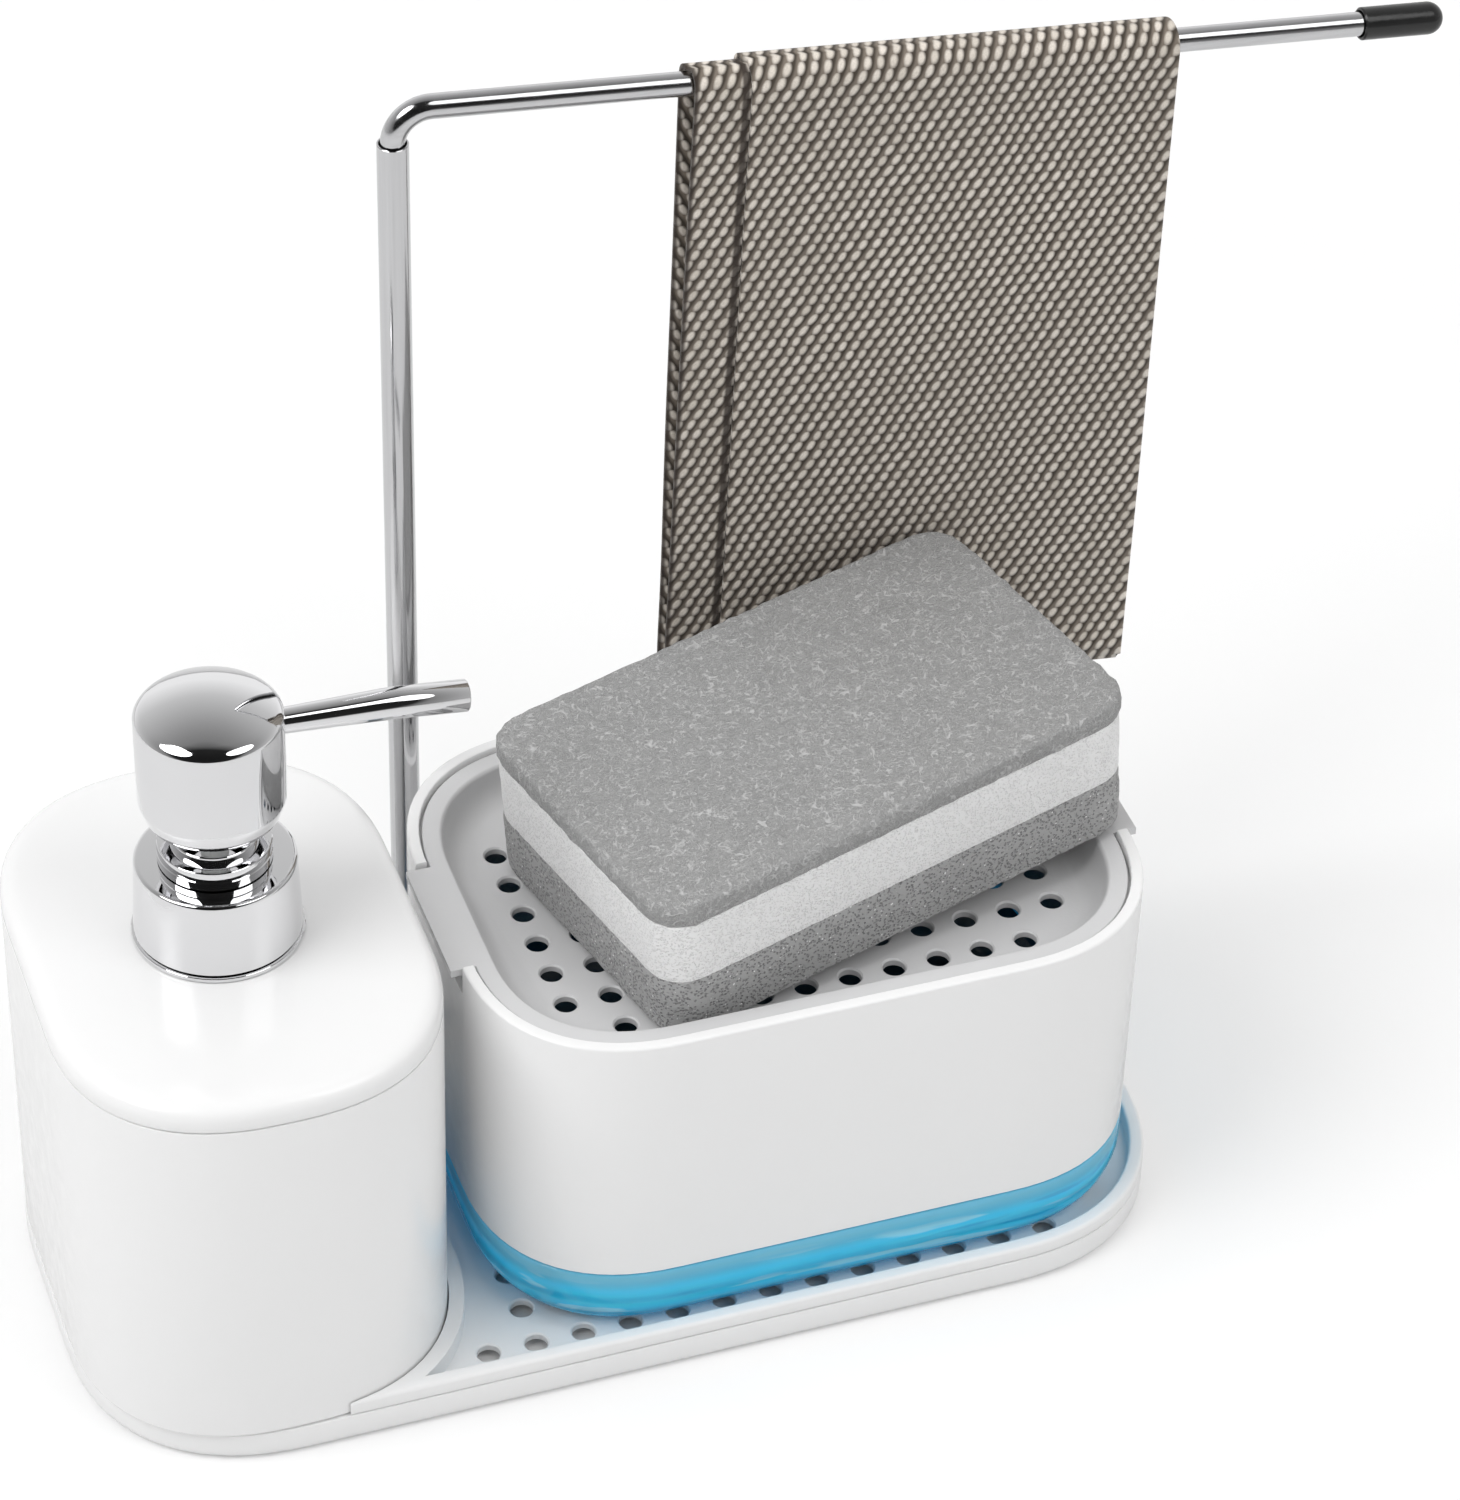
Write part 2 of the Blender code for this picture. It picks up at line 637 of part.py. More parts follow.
def towel_post(parent):
    """The upright tube, the plug in its foot, and the screw that holds it to the pan."""
    foot = PAN_FLOOR + GAP
    finish(ring_of("post_tube", POST_RADIUS, POST_BORE, foot, POST_TOP, parent), STEEL, 0.22, 1.0)
    plug_top = foot + PLUG_HEIGHT
    plug_radius, plug_bore = POST_BORE - GAP / 2, SCREW_RADIUS + GAP / 2
    plug = ring_of("post_plug", plug_radius, plug_bore, foot, plug_top, parent, SMALL_TURN_STEPS)
    finish(plug, STEEL, 0.4, 1.0)
    seat = SCREW_HEAD_HEIGHT
    profile = [(0.0, seat + SCREW_LENGTH), (SCREW_RADIUS, seat + SCREW_LENGTH), (SCREW_RADIUS, seat)]
    profile += [(SCREW_HEAD_RADIUS, seat), (SCREW_HEAD_RADIUS, GAP), (0.0, GAP)]
    finish(turned("post_screw", profile, parent, steps=SMALL_TURN_STEPS), STEEL, 0.35, 1.0)


# Towel rod


def rod_direction():
    """The rod's direction in its own frame, whose X axis is the rod's heading in plan."""
    return Vector((math.cos(ROD_DROOP), 0.0, -math.sin(ROD_DROOP)))


def towel_rod(parent):
    """One bent bar: its leg stands in the post, and its long arm droops a little towards the cap."""
    along = rod_direction()
    turn = math.pi / 2 + ROD_DROOP
    tangent = ROD_BEND * math.tan(turn / 2)
    leg_foot = PAN_FLOOR + GAP + PLUG_HEIGHT + GAP - ROD_HEIGHT
    start = Vector((0.0, 0.0, -tangent))
    end = along * tangent
    centre = start + Vector((ROD_BEND, 0.0, 0.0))
    points = [Vector((0.0, 0.0, leg_foot))]
    points += arc(centre, start, end, BEND_STEPS)
    points += [along * ROD_LENGTH]
    finish(wire("towel_rod", points, ROD_RADIUS, parent), CHROME, 0.12, 1.0)


def rod_end_cap(parent):
    """A soft cap with a rounded nose, pushed over the end of the rod."""
    tilt = frame("rod_cap_axis", 0.0, 0.0, 0.0, (0.0, math.pi / 2 + ROD_DROOP, 0.0))
    tilt.parent = parent
    end = ROD_LENGTH + CAP_NOSE
    start = end - CAP_LENGTH
    nose = end - CAP_RADIUS
    bore = ROD_RADIUS + GAP
    profile = [(0.0, end)]
    for step in range(1, ROUND_STEPS + 2):
        angle = math.pi / 2 * step / (ROUND_STEPS + 1)
        profile.append((CAP_RADIUS * math.sin(angle), nose + CAP_RADIUS * math.cos(angle)))
    profile += [(CAP_RADIUS, start), (bore, start), (bore, ROD_LENGTH + GAP), (0.0, ROD_LENGTH + GAP)]
    finish(turned("rod_end_cap", profile, tilt), RUBBER, 0.3)


def towel_section(layers, wave):
    """The towel's closed section across the rod: the outer face over it, then the inner face back."""
    thickness = CLOTH * layers
    inner_radius = ROD_RADIUS + GAP
    outer_radius = inner_radius + thickness

    def panel(side, radius, drop, space):
        points = []
        for step in range(1, TOWEL_PANEL_STEPS + 1):
            down = drop * step / TOWEL_PANEL_STEPS
            lean = min(down / TOWEL_LEAN_DROP, 1.0)
            meeting = TOWEL_LEAN - outer_radius + thickness + space
            target = meeting + (radius - inner_radius) * side
            y = side * radius * (1 - lean) + target * lean + wave * lean
            points.append((y, -down))
        return points

    def over(radius):
        points = []
        for step in range(TOWEL_OVER_STEPS + 1):
            angle = math.pi * (1 - step / TOWEL_OVER_STEPS)
            points.append((radius * math.cos(angle), radius * math.sin(angle)))
        return points

    outer = panel(-1, outer_radius, TOWEL_FRONT_DROP, 0.0)[::-1] + over(outer_radius)
    outer += panel(1, outer_radius, TOWEL_BACK_DROP, TOWEL_LAYER_SPACE)
    inner = panel(1, inner_radius, TOWEL_BACK_DROP, TOWEL_LAYER_SPACE)[::-1] + over(inner_radius)[::-1]
    inner += panel(-1, inner_radius, TOWEL_FRONT_DROP, 0.0)
    return outer + inner


def hand_towel(parent):
    """The folded cloth over the rod. Its left edge shows one fold of the inner half beside the outer half."""
    fold = TOWEL_START + TOWEL_STRIP
    stations = [(TOWEL_START, 1), (fold - CLOTH / 2, 1), (fold, 2)]
    for step in range(1, TOWEL_ACROSS_STEPS + 1):
        stations.append((fold + (TOWEL_WIDTH - TOWEL_STRIP) * step / TOWEL_ACROSS_STEPS, 2))
    rings = []
    for along, layers in stations:
        share = (along - TOWEL_START) / TOWEL_WIDTH
        wave = TOWEL_FOLD_DEPTH * (1 - math.cos(2 * math.pi * 2 * share)) / 2
        drop = along * math.sin(ROD_DROOP)
        x = along * math.cos(ROD_DROOP)
        rings.append([(x, y, z - drop) for y, z in towel_section(layers, wave)])
    finish(place("hand_towel", loft("hand_towel", rings), parent), (0.32, 0.28, 0.23), 0.9)


# Bottle


def bottle_body(parent):
    """The open soap bottle. Its spigot drops inside the pan, and its wall stands on the pan's rim."""
    size = (BOTTLE_HALF_X, BOTTLE_HALF_Y, BOTTLE_CORNER)
    foot = PAN_FLOOR + GAP
    seat = PAN_TOP + GAP
    top = BOTTLE_SEAM - GAP / 2
    floor = foot + BOTTLE_WALL
    section = [(SPIGOT_INSET, foot), (SPIGOT_INSET, seat), (BOTTLE_SHOULDER, seat)]
    section += [(0.0, seat + BOTTLE_SHOULDER), (0.0, top), (BOTTLE_WALL, top)]
    section += [(BOTTLE_WALL, seat + BOTTLE_WALL * 2)]
    section += rounded(
        (SPIGOT_INSET + BOTTLE_WALL / 2, seat), (SPIGOT_INSET + BOTTLE_WALL, floor), (SPIGOT_INSET * 2, floor)
    )
    finish(place("bottle_body", walled("bottle_body", size, section), parent), WHITE, 0.22)


def bottle_lid(parent):
    """The lid, with a skirt inside the body and an opening for the neck."""
    size = (BOTTLE_HALF_X, BOTTLE_HALF_Y, BOTTLE_CORNER)
    foot = BOTTLE_SEAM + GAP / 2
    skirt_out = BOTTLE_WALL + GAP
    skirt_in = skirt_out + LID_SKIRT_WALL
    under = LID_TOP - LID_PLATE
    section = [(LID_ROUND_IN * 2, LID_TOP)]
    section += rounded((LID_ROUND_IN, LID_TOP), (0.0, LID_TOP), (0.0, LID_TOP - LID_ROUND_DROP))
    section += [(0.0, foot), (skirt_out, foot), (skirt_out, foot - LID_SKIRT_DEPTH)]
    section += [(skirt_in, foot - LID_SKIRT_DEPTH), (skirt_in, foot), (skirt_in + LID_ROUND_IN, under)]
    lid = place("bottle_lid", walled("bottle_lid", size, section), parent)
    hole = NECK_RADIUS + GAP
    cut(lid, cylinders("neck_opening", hole, foot, LID_TOP + OVERRUN, [(0.0, 0.0)], parent, TURN_STEPS))
    finish(lid, WHITE, 0.18)


def bottle_neck(parent):
    """The neck that carries the collar, flanged under the lid."""
    flange_top = LID_TOP - LID_PLATE - GAP
    flange_foot = flange_top - NECK_FLANGE_HEIGHT
    profile = [(NECK_RADIUS, NECK_TOP), (NECK_RADIUS, flange_top), (NECK_FLANGE_RADIUS, flange_top)]
    profile += [(NECK_FLANGE_RADIUS, flange_foot), (NECK_RADIUS, flange_foot)]
    neck_foot = flange_foot - NECK_FOOT
    profile += [(NECK_RADIUS, neck_foot), (NECK_BORE, neck_foot), (NECK_BORE, NECK_TOP)]
    finish(turned("bottle_neck", profile, parent, ring=True), WHITE, 0.4)


def base_ring(parent):
    foot = LID_TOP + GAP
    top = foot + BASE_RING_HEIGHT
    ring = ring_of("pump_base_ring", BASE_RING_RADIUS, NECK_RADIUS + GAP, foot, top, parent)
    finish(ring, CHROME, 0.08, 1.0)


# Pump


def pump_collar(parent):
    """The screwed collar, with a rounded top edge and a plate that holds the pump down."""
    foot = LID_TOP + GAP + BASE_RING_HEIGHT + GAP
    plate_foot = COLLAR_TOP - COLLAR_PLATE
    profile = [(GASKET_BORE, COLLAR_TOP)]
    profile += rounded(
        (COLLAR_TOP_RADIUS - COLLAR_ROUND, COLLAR_TOP),
        (COLLAR_TOP_RADIUS, COLLAR_TOP),
        (COLLAR_TOP_RADIUS, COLLAR_TOP - COLLAR_ROUND),
    )
    profile += [(COLLAR_FOOT_RADIUS, foot), (COLLAR_BORE, foot)]
    profile += [(COLLAR_BORE, plate_foot), (GASKET_BORE, plate_foot)]
    finish(turned("pump_collar", profile, parent, ring=True), CHROME, 0.08, 1.0)


def neck_gasket(parent):
    foot = NECK_TOP + GAP
    ring = ring_of("neck_gasket", NECK_RADIUS, GASKET_BORE, foot, foot + GASKET_THICKNESS, parent)
    finish(ring, RUBBER, 0.8)


def lock_sleeve(parent):
    """The stepped sleeve above the collar, which guides the stem and keeps the piston in."""
    foot = COLLAR_TOP + GAP
    step_top = COLLAR_TOP + SLEEVE_STEP_HEIGHT
    nose_top = step_top + SLEEVE_NOSE_HEIGHT
    skirt_foot = COLLAR_TOP - SLEEVE_SKIRT
    skirt_radius = GASKET_BORE - GAP
    profile = [(SLEEVE_BORE, nose_top), (SLEEVE_NOSE_RADIUS, nose_top), (SLEEVE_NOSE_RADIUS, step_top)]
    profile += [(SLEEVE_RADIUS, step_top), (SLEEVE_RADIUS, foot), (skirt_radius, foot)]
    profile += [(skirt_radius, skirt_foot), (SLEEVE_BORE, skirt_foot)]
    finish(turned("lock_sleeve", profile, parent, ring=True), CHROME, 0.1, 1.0)


def ball_rest():
    """The height of the ball's middle when it lies just above the edge of its seat."""
    return HOUSING_FLOOR + math.sqrt(BALL_RADIUS**2 - INLET_BORE**2) + GAP


def pump_housing(parent):
    """The hanging cylinder with the ball's cage at its foot and the socket for the dip tube."""
    flange_foot = NECK_TOP + GAP + GASKET_THICKNESS + GAP
    flange_top = COLLAR_TOP - SLEEVE_SKIRT - GAP
    base = HOUSING_FLOOR - HOUSING_BASE
    socket_foot = base - HOSE_SOCKET_DEPTH
    profile = [(HOUSING_BORE, flange_top), (NECK_RADIUS, flange_top), (NECK_RADIUS, flange_foot)]
    profile += [(HOUSING_RADIUS, flange_foot), (HOUSING_RADIUS, base), (HOSE_SOCKET_RADIUS, base)]
    hose_hole = HOSE_RADIUS + GAP
    profile += [(HOSE_SOCKET_RADIUS, socket_foot), (hose_hole, socket_foot), (hose_hole, base)]
    stop = ball_rest() + BALL_LIFT + math.sqrt(BALL_RADIUS**2 - CAGE_LIP_BORE**2) + GAP
    profile += [(INLET_BORE, base), (INLET_BORE, HOUSING_FLOOR)]
    profile += [(CAGE_BORE, HOUSING_FLOOR), (CAGE_BORE, stop)]
    profile += [(CAGE_LIP_BORE, stop), (CAGE_LIP_BORE, stop + CAGE_LIP), (CAGE_RADIUS, stop + CAGE_LIP)]
    profile += [(CAGE_RADIUS, HOUSING_FLOOR), (HOUSING_BORE, HOUSING_FLOOR)]
    finish(turned("pump_housing", profile, parent, ring=True), WHITE, 0.4)


def dip_tube(parent):
    top = HOUSING_FLOOR - HOUSING_BASE - GAP
    foot = PAN_FLOOR + GAP + BOTTLE_WALL + HOSE_CLEAR_OF_FLOOR
    finish(ring_of("dip_tube", HOSE_RADIUS, HOSE_BORE, foot, top, parent, SMALL_TURN_STEPS), WHITE, 0.3)


def inlet_ball(parent):
    """The steel ball that closes the inlet, loose between its seat and the cage's lip."""
    shape = bmesh.new()
    bmesh.ops.create_uvsphere(shape, u_segments=12, v_segments=8, radius=BALL_RADIUS)
    mesh = bpy.data.meshes.new("inlet_ball")
    shape.to_mesh(mesh)
    shape.free()
    shade(mesh)
    ball = place("inlet_ball", mesh, parent)
    ball.location.z = ball_rest()
    finish(ball, STEEL, 0.15, 1.0)


def pump_spring(parent):
    """The return spring between the housing's floor and the piston, with straight square ends."""
    foot = HOUSING_FLOOR + GAP + SPRING_WIRE
    head = PISTON_TOP - PISTON_HEIGHT - GAP - SPRING_WIRE
    count = SPRING_TURNS * SPRING_POINTS_PER_TURN
    points = []
    for step in range(count + 1):
        angle = 2 * math.pi * step / SPRING_POINTS_PER_TURN
        height = foot + (head - foot) * step / count
        points.append(Vector((SPRING_RADIUS * math.cos(angle), SPRING_RADIUS * math.sin(angle), height)))
    tail = 2 * SPRING_WIRE
    points.insert(0, points[0] - Vector((0.0, tail, 0.0)))
    points.append(points[-1] + Vector((0.0, tail, 0.0)))
    least = min(
        (points[low] - points[high]).length - 2 * SPRING_WIRE
        for low in range(len(points))
        for high in range(low + SPRING_POINTS_PER_TURN // 2, len(points))
    )
    print("pump_spring: least gap between turns", round(least * 1000, 2), "mm")
    finish(wire("pump_spring", points, SPRING_WIRE, parent, resolution=1), STEEL, 0.25, 1.0)


def plunger(parent):
    """Stem, piston and its lip seal."""
    foot = PISTON_TOP - PISTON_HEIGHT
    radius = HOUSING_BORE - GAP
    waist = radius - SEAL_DEPTH
    seal_top = PISTON_TOP - SEAL_HEIGHT
    seal_foot = seal_top - SEAL_HEIGHT
    profile = [(STEM_RADIUS + GAP, PISTON_TOP), (radius, PISTON_TOP), (radius, seal_top), (waist, seal_top)]
    profile += [(waist, seal_foot), (radius, seal_foot), (radius, foot), (PISTON_BORE, foot)]
    stem_foot = foot + SEAL_HEIGHT
    profile += [(PISTON_BORE, stem_foot - GAP), (STEM_RADIUS + GAP, stem_foot - GAP)]
    finish(turned("pump_piston", profile, parent, ring=True), WHITE, 0.4)
    seal = ring_of("piston_seal", radius, waist + GAP / 2, seal_foot + GAP / 2, seal_top - GAP / 2, parent)
    finish(seal, RUBBER, 0.7)
    stem = ring_of("pump_stem", STEM_RADIUS, STEM_BORE, stem_foot, STEM_TOP, parent, SMALL_TURN_STEPS)
    finish(stem, WHITE, 0.4)


def pump_head(parent):
    """The domed press head, hollow over the sleeve, with a boss for the stem and a bore for the spout."""
    chamfer_top = HEAD_FOOT + HEAD_CHAMFER_HEIGHT
    side_top = HEAD_FOOT + HEAD_SIDE_HEIGHT
    edge_top = side_top + HEAD_EDGE_HEIGHT
    ceiling = HEAD_FOOT + HEAD_HOLLOW_DEPTH
    boss_foot = COLLAR_TOP + SLEEVE_STEP_HEIGHT + SLEEVE_NOSE_HEIGHT + STROKE + PRESS_MARGIN
    profile = [(0.0, edge_top + HEAD_DOME_HEIGHT)]
    for step in range(1, ROUND_STEPS + 2):
        share = step / (ROUND_STEPS + 1)
        profile.append((HEAD_EDGE_RADIUS * share, edge_top + HEAD_DOME_HEIGHT * (1 - share**2)))
    profile += rounded(profile.pop(), (HEAD_RADIUS, edge_top - HEAD_EDGE_HEIGHT / 2), (HEAD_RADIUS, side_top))
    profile += [(HEAD_RADIUS, chamfer_top), (HEAD_FOOT_RADIUS, HEAD_FOOT), (HEAD_HOLLOW, HEAD_FOOT)]
    stem_hole = STEM_RADIUS + GAP
    profile += [(HEAD_HOLLOW, ceiling), (HEAD_BOSS_RADIUS, ceiling), (HEAD_BOSS_RADIUS, boss_foot)]
    profile += [(stem_hole, boss_foot), (stem_hole, STEM_TOP + GAP), (SPOUT_BORE, STEM_TOP + GAP)]
    profile += [(SPOUT_BORE, SPOUT_HEIGHT), (0.0, SPOUT_HEIGHT)]
    head = turned("pump_head", profile, parent)
    near, far = SPOUT_ROOT_X - GAP, HEAD_RADIUS + OVERRUN
    cut(head, hide_cutter(spout_bar("spout_socket", SPOUT_ROOT_RADIUS + GAP, near, far, parent)))
    cut(head, hide_cutter(spout_bar("spout_channel", SPOUT_BORE, 0.0, SPOUT_ROOT_X + GAP, parent)))
    finish(head, CHROME, 0.06, 1.0)


def spout_bar(name, radius, start, end, parent):
    """A level bar along +X at the spout's height, for the bores that the spout needs."""
    shape = bmesh.new()
    middle = Matrix.Translation(((start + end) / 2, 0.0, SPOUT_HEIGHT))
    place_bar = middle @ Matrix.Rotation(math.pi / 2, 4, "Y")
    bmesh.ops.create_cone(
        shape,
        cap_ends=True,
        segments=SMALL_TURN_STEPS,
        radius1=radius,
        radius2=radius,
        depth=end - start,
        matrix=place_bar,
    )
    mesh = bpy.data.meshes.new(name)
    shape.to_mesh(mesh)
    shape.free()
    return place(name, mesh, parent, CUTTERS)


def pump_spout(parent):
    """The bent outlet pipe, slimmer at its root and open at its square-cut tip."""
    root = Vector((SPOUT_ROOT_X, 0.0, SPOUT_HEIGHT))
    level = Vector((HEAD_RADIUS, 0.0, SPOUT_HEIGHT))
    elbow = Vector((SPOUT_ELBOW_X, 0.0, SPOUT_HEIGHT - SPOUT_ELBOW_DROP))
    tip = Vector((SPOUT_TIP_X, 0.0, SPOUT_HEIGHT - SPOUT_TIP_DROP))
    slim = SPOUT_ROOT_RADIUS / SPOUT_RADIUS
    spout = wire("pump_spout", [root, level, elbow, tip], SPOUT_RADIUS, parent, shares=[slim, slim, 1.0, 1.0])
    overrun = Vector((OVERRUN, 0.0, 0.0))
    slope = (tip - elbow).normalized() * OVERRUN
    bore = wire("spout_bore", [root - overrun, level, elbow, tip + slope], SPOUT_BORE, parent)
    PARTS.objects.unlink(bore)
    CUTTERS.objects.link(bore)
    cut(spout, hide_cutter(bore))
    finish(spout, CHROME, 0.08, 1.0)


# Sponge caddy


def basin_boss_places():
    """Two bosses along the front and one in the front left corner."""
    front = BASIN_BOSS_SIDE_SPACE - CADDY_HALF_Y
    right = (CADDY_HALF_X - BASIN_BOSS_RIGHT_SPACE, front)
    corner = (BASIN_BOSS_LEFT_SPACE - CADDY_HALF_X, BASIN_BOSS_CORNER_SPACE - CADDY_HALF_Y)
    return [(BASIN_BOSS_MIDDLE_X, front), right, corner]


def drip_basin(parent):
    """The clear basin: a rounded heel, a step under the shell, a lip inside it, and bosses on its floor."""
    size = (CADDY_HALF_X, CADDY_HALF_Y, CADDY_CORNER)
    lip_out = SHELL_WALL + GAP
    lip_in = lip_out + BASIN_WALL
    lip_top = BASIN_SEAM + GAP + BASIN_LIP_HEIGHT
    heel_top = BASIN_BOTTOM + BASIN_HEEL_HEIGHT
    floor = BASIN_BOTTOM + BASIN_FLOOR
    section = [(BASIN_HEEL_INSET * 2, BASIN_BOTTOM)]
    section += rounded(
        (BASIN_HEEL_INSET, BASIN_BOTTOM), (BASIN_HEEL_INSET / 4, BASIN_BOTTOM + BASIN_FLOOR), (0.0, heel_top)
    )
    section += [(0.0, BASIN_SEAM), (lip_out, BASIN_SEAM), (lip_out, lip_top), (lip_in, lip_top)]
    section += [(lip_in, BASIN_SEAM), (BASIN_WALL, BASIN_SEAM - BASIN_WALL * 2), (BASIN_WALL, heel_top)]
    section += rounded(
        (BASIN_WALL * 1.5, floor + BASIN_FLOOR), (BASIN_HEEL_INSET, floor), (BASIN_HEEL_INSET * 2, floor)
    )
    basin = place("drip_basin", walled("drip_basin", size, section), parent)
    middle = BASIN_BOTTOM + BASIN_FLOOR / 2
    feet = [(side_x * BASIN_FOOT_X, side_y * BASIN_FOOT_Y) for side_x in (-1, 1) for side_y in (-1, 1)]
    foot_low = INSERT_FLOOR_TOP + GAP
    join(basin, cylinders("basin_feet", BASIN_FOOT_RADIUS, foot_low, middle, feet, parent, HOLE_SIDES))
    boss_top = floor + BASIN_BOSS_HEIGHT
    places, sides = basin_boss_places(), SMALL_TURN_STEPS
    join(basin, cylinders("basin_bosses", BASIN_BOSS_RADIUS, middle, boss_top, places, parent, sides))
    half, width = BASIN_RIB_HALF_LENGTH, BASIN_RIB_HALF_WIDTH
    low = (-half, BASIN_RIB_Y - width, middle)
    high = (half, BASIN_RIB_Y + width, floor + BASIN_RIB_HEIGHT)
    join(basin, block("basin_rib", low, high, parent))
    finish(basin, CLEAR_BLUE, 0.08, 0.0, 0.6)


def tab_blocks(name, reach, half_width, low, high, parent):
    """A hidden block at each end of the caddy, for its tabs and their notches."""
    blocks = []
    for side, label in ((-1, "left"), (1, "right")):
        near = side * (CADDY_HALF_X - TAB_ROOT)
        far = side * (CADDY_HALF_X + reach)
        start, end = min(near, far), max(near, far)
        corners = (start, -half_width, low), (end, half_width, high)
        blocks.append(block(f"{name}_{label}", *corners, parent))
    return blocks


def caddy_shell(parent):
    """The tall outer wall, with a ledge for the strainer and a notch at each end for its tabs."""
    size = (CADDY_HALF_X, CADDY_HALF_Y, CADDY_CORNER)
    foot = BASIN_SEAM + GAP
    ledge = STRAINER_TOP - STRAINER_PLATE - GAP
    section = rounded(
        (0.0, SHELL_TOP - SHELL_RIM_ROUND), (0.0, SHELL_TOP), (SHELL_RIM_ROUND, SHELL_TOP)
    )
    section += [(SHELL_WALL, SHELL_TOP), (SHELL_WALL, ledge), (SHELL_WALL + LEDGE_WIDTH, ledge)]
    section += [(SHELL_WALL + LEDGE_WIDTH, ledge - LEDGE_WIDTH / 2), (SHELL_WALL, ledge - LEDGE_DROP)]
    section += [(SHELL_WALL, foot), (0.0, foot)]
    shell = place("caddy_shell", walled("caddy_shell", size, section, loop=True), parent)
    half = TAB_HALF_WIDTH + NOTCH_SIDE_GAP
    low, high = SHELL_TOP - NOTCH_DEPTH, SHELL_TOP + OVERRUN
    for notch in tab_blocks("tab_notch", OVERRUN, half, low, high, parent):
        cut(shell, notch)
    finish(shell, WHITE, 0.22)


def strainer_hole_places():
    """The grid of drain holes, without its four corners."""
    places = []
    for column in range(STRAINER_COLUMNS):
        for row in range(STRAINER_ROWS):
            at_end = column in (0, STRAINER_COLUMNS - 1) and row in (0, STRAINER_ROWS - 1)
            if not at_end:
                x = (column - (STRAINER_COLUMNS - 1) / 2) * STRAINER_HOLE_PITCH_X
                y = (row - (STRAINER_ROWS - 1) / 2) * STRAINER_HOLE_PITCH_Y
                places.append((x, y))
    return places


def strainer(parent):
    """The lift-out tray under the sponge: a flange, a sunk floor full of holes, and two end tabs."""
    size = (CADDY_HALF_X, CADDY_HALF_Y, CADDY_CORNER)
    edge = SHELL_WALL + STRAINER_EDGE_GAP
    flange_foot = STRAINER_TOP - STRAINER_PLATE
    floor_foot = STRAINER_FLOOR_TOP - STRAINER_PLATE
    section = rounded(
        (STRAINER_FLOOR_INSET, floor_foot),
        (STRAINER_WALL_INSET, floor_foot + STRAINER_PLATE / 2),
        (STRAINER_WALL_INSET, flange_foot),
    )
    section += [(edge, flange_foot), (edge, STRAINER_TOP)]
    section += rounded(
        (STRAINER_RECESS_INSET, STRAINER_TOP),
        (STRAINER_RECESS_INSET + STRAINER_PLATE / 2, STRAINER_FLOOR_TOP + STRAINER_PLATE / 2),
        (STRAINER_FLOOR_INSET, STRAINER_FLOOR_TOP),
    )
    tray = place("strainer_tray", walled("strainer_tray", size, section), parent)
    for tab in tab_blocks("strainer_tab", TAB_REACH, TAB_HALF_WIDTH, flange_foot, STRAINER_TOP, parent):
        join(tray, tab)
    low, high = floor_foot - OVERRUN, STRAINER_FLOOR_TOP + OVERRUN
    cut(tray, cylinders("strainer_holes", STRAINER_HOLE_RADIUS, low, high, strainer_hole_places(), parent))
    finish(tray, GREY_PLASTIC, 0.35)


# Sponge


def sponge_layer(name, foot, top, parent, colour, top_round=0.0):
    size = (SPONGE_HALF_X, SPONGE_HALF_Y, SPONGE_CORNER)
    section = [(GAP, foot), (0.0, foot + GAP)]
    if top_round:
        section += rounded((0.0, top - top_round), (0.0, top), (top_round, top))
    else:
        section += [(0.0, top - GAP), (GAP, top)]
    finish(place(name, walled(name, size, section), parent), colour, 0.95)


def sponge_rest():
    """Height and tilt of the sponge: its left edge lies on the strainer's floor, its right end on the rim."""
    left = STRAINER_FLOOR_TOP + SPONGE_LEFT_REST
    right = SHELL_TOP + SPONGE_RIGHT_REST
    tilt = -math.asin((right - left) / (2 * SPONGE_HALF_X))
    return (left + right) / 2 + SPONGE_HALF_Z * math.cos(tilt), tilt


def sponge(parent):
    dark_top = DARK_FOAM - SPONGE_HALF_Z
    light_top = dark_top + LIGHT_FOAM
    sponge_layer("sponge_foam_dark", -SPONGE_HALF_Z, dark_top - GAP, parent, (0.18, 0.18, 0.18))
    sponge_layer("sponge_foam_light", dark_top, light_top - GAP, parent, (0.75, 0.75, 0.75))
    sponge_layer("scouring_pad", light_top, SPONGE_HALF_Z, parent, (0.38, 0.38, 0.38), SPONGE_EDGE)


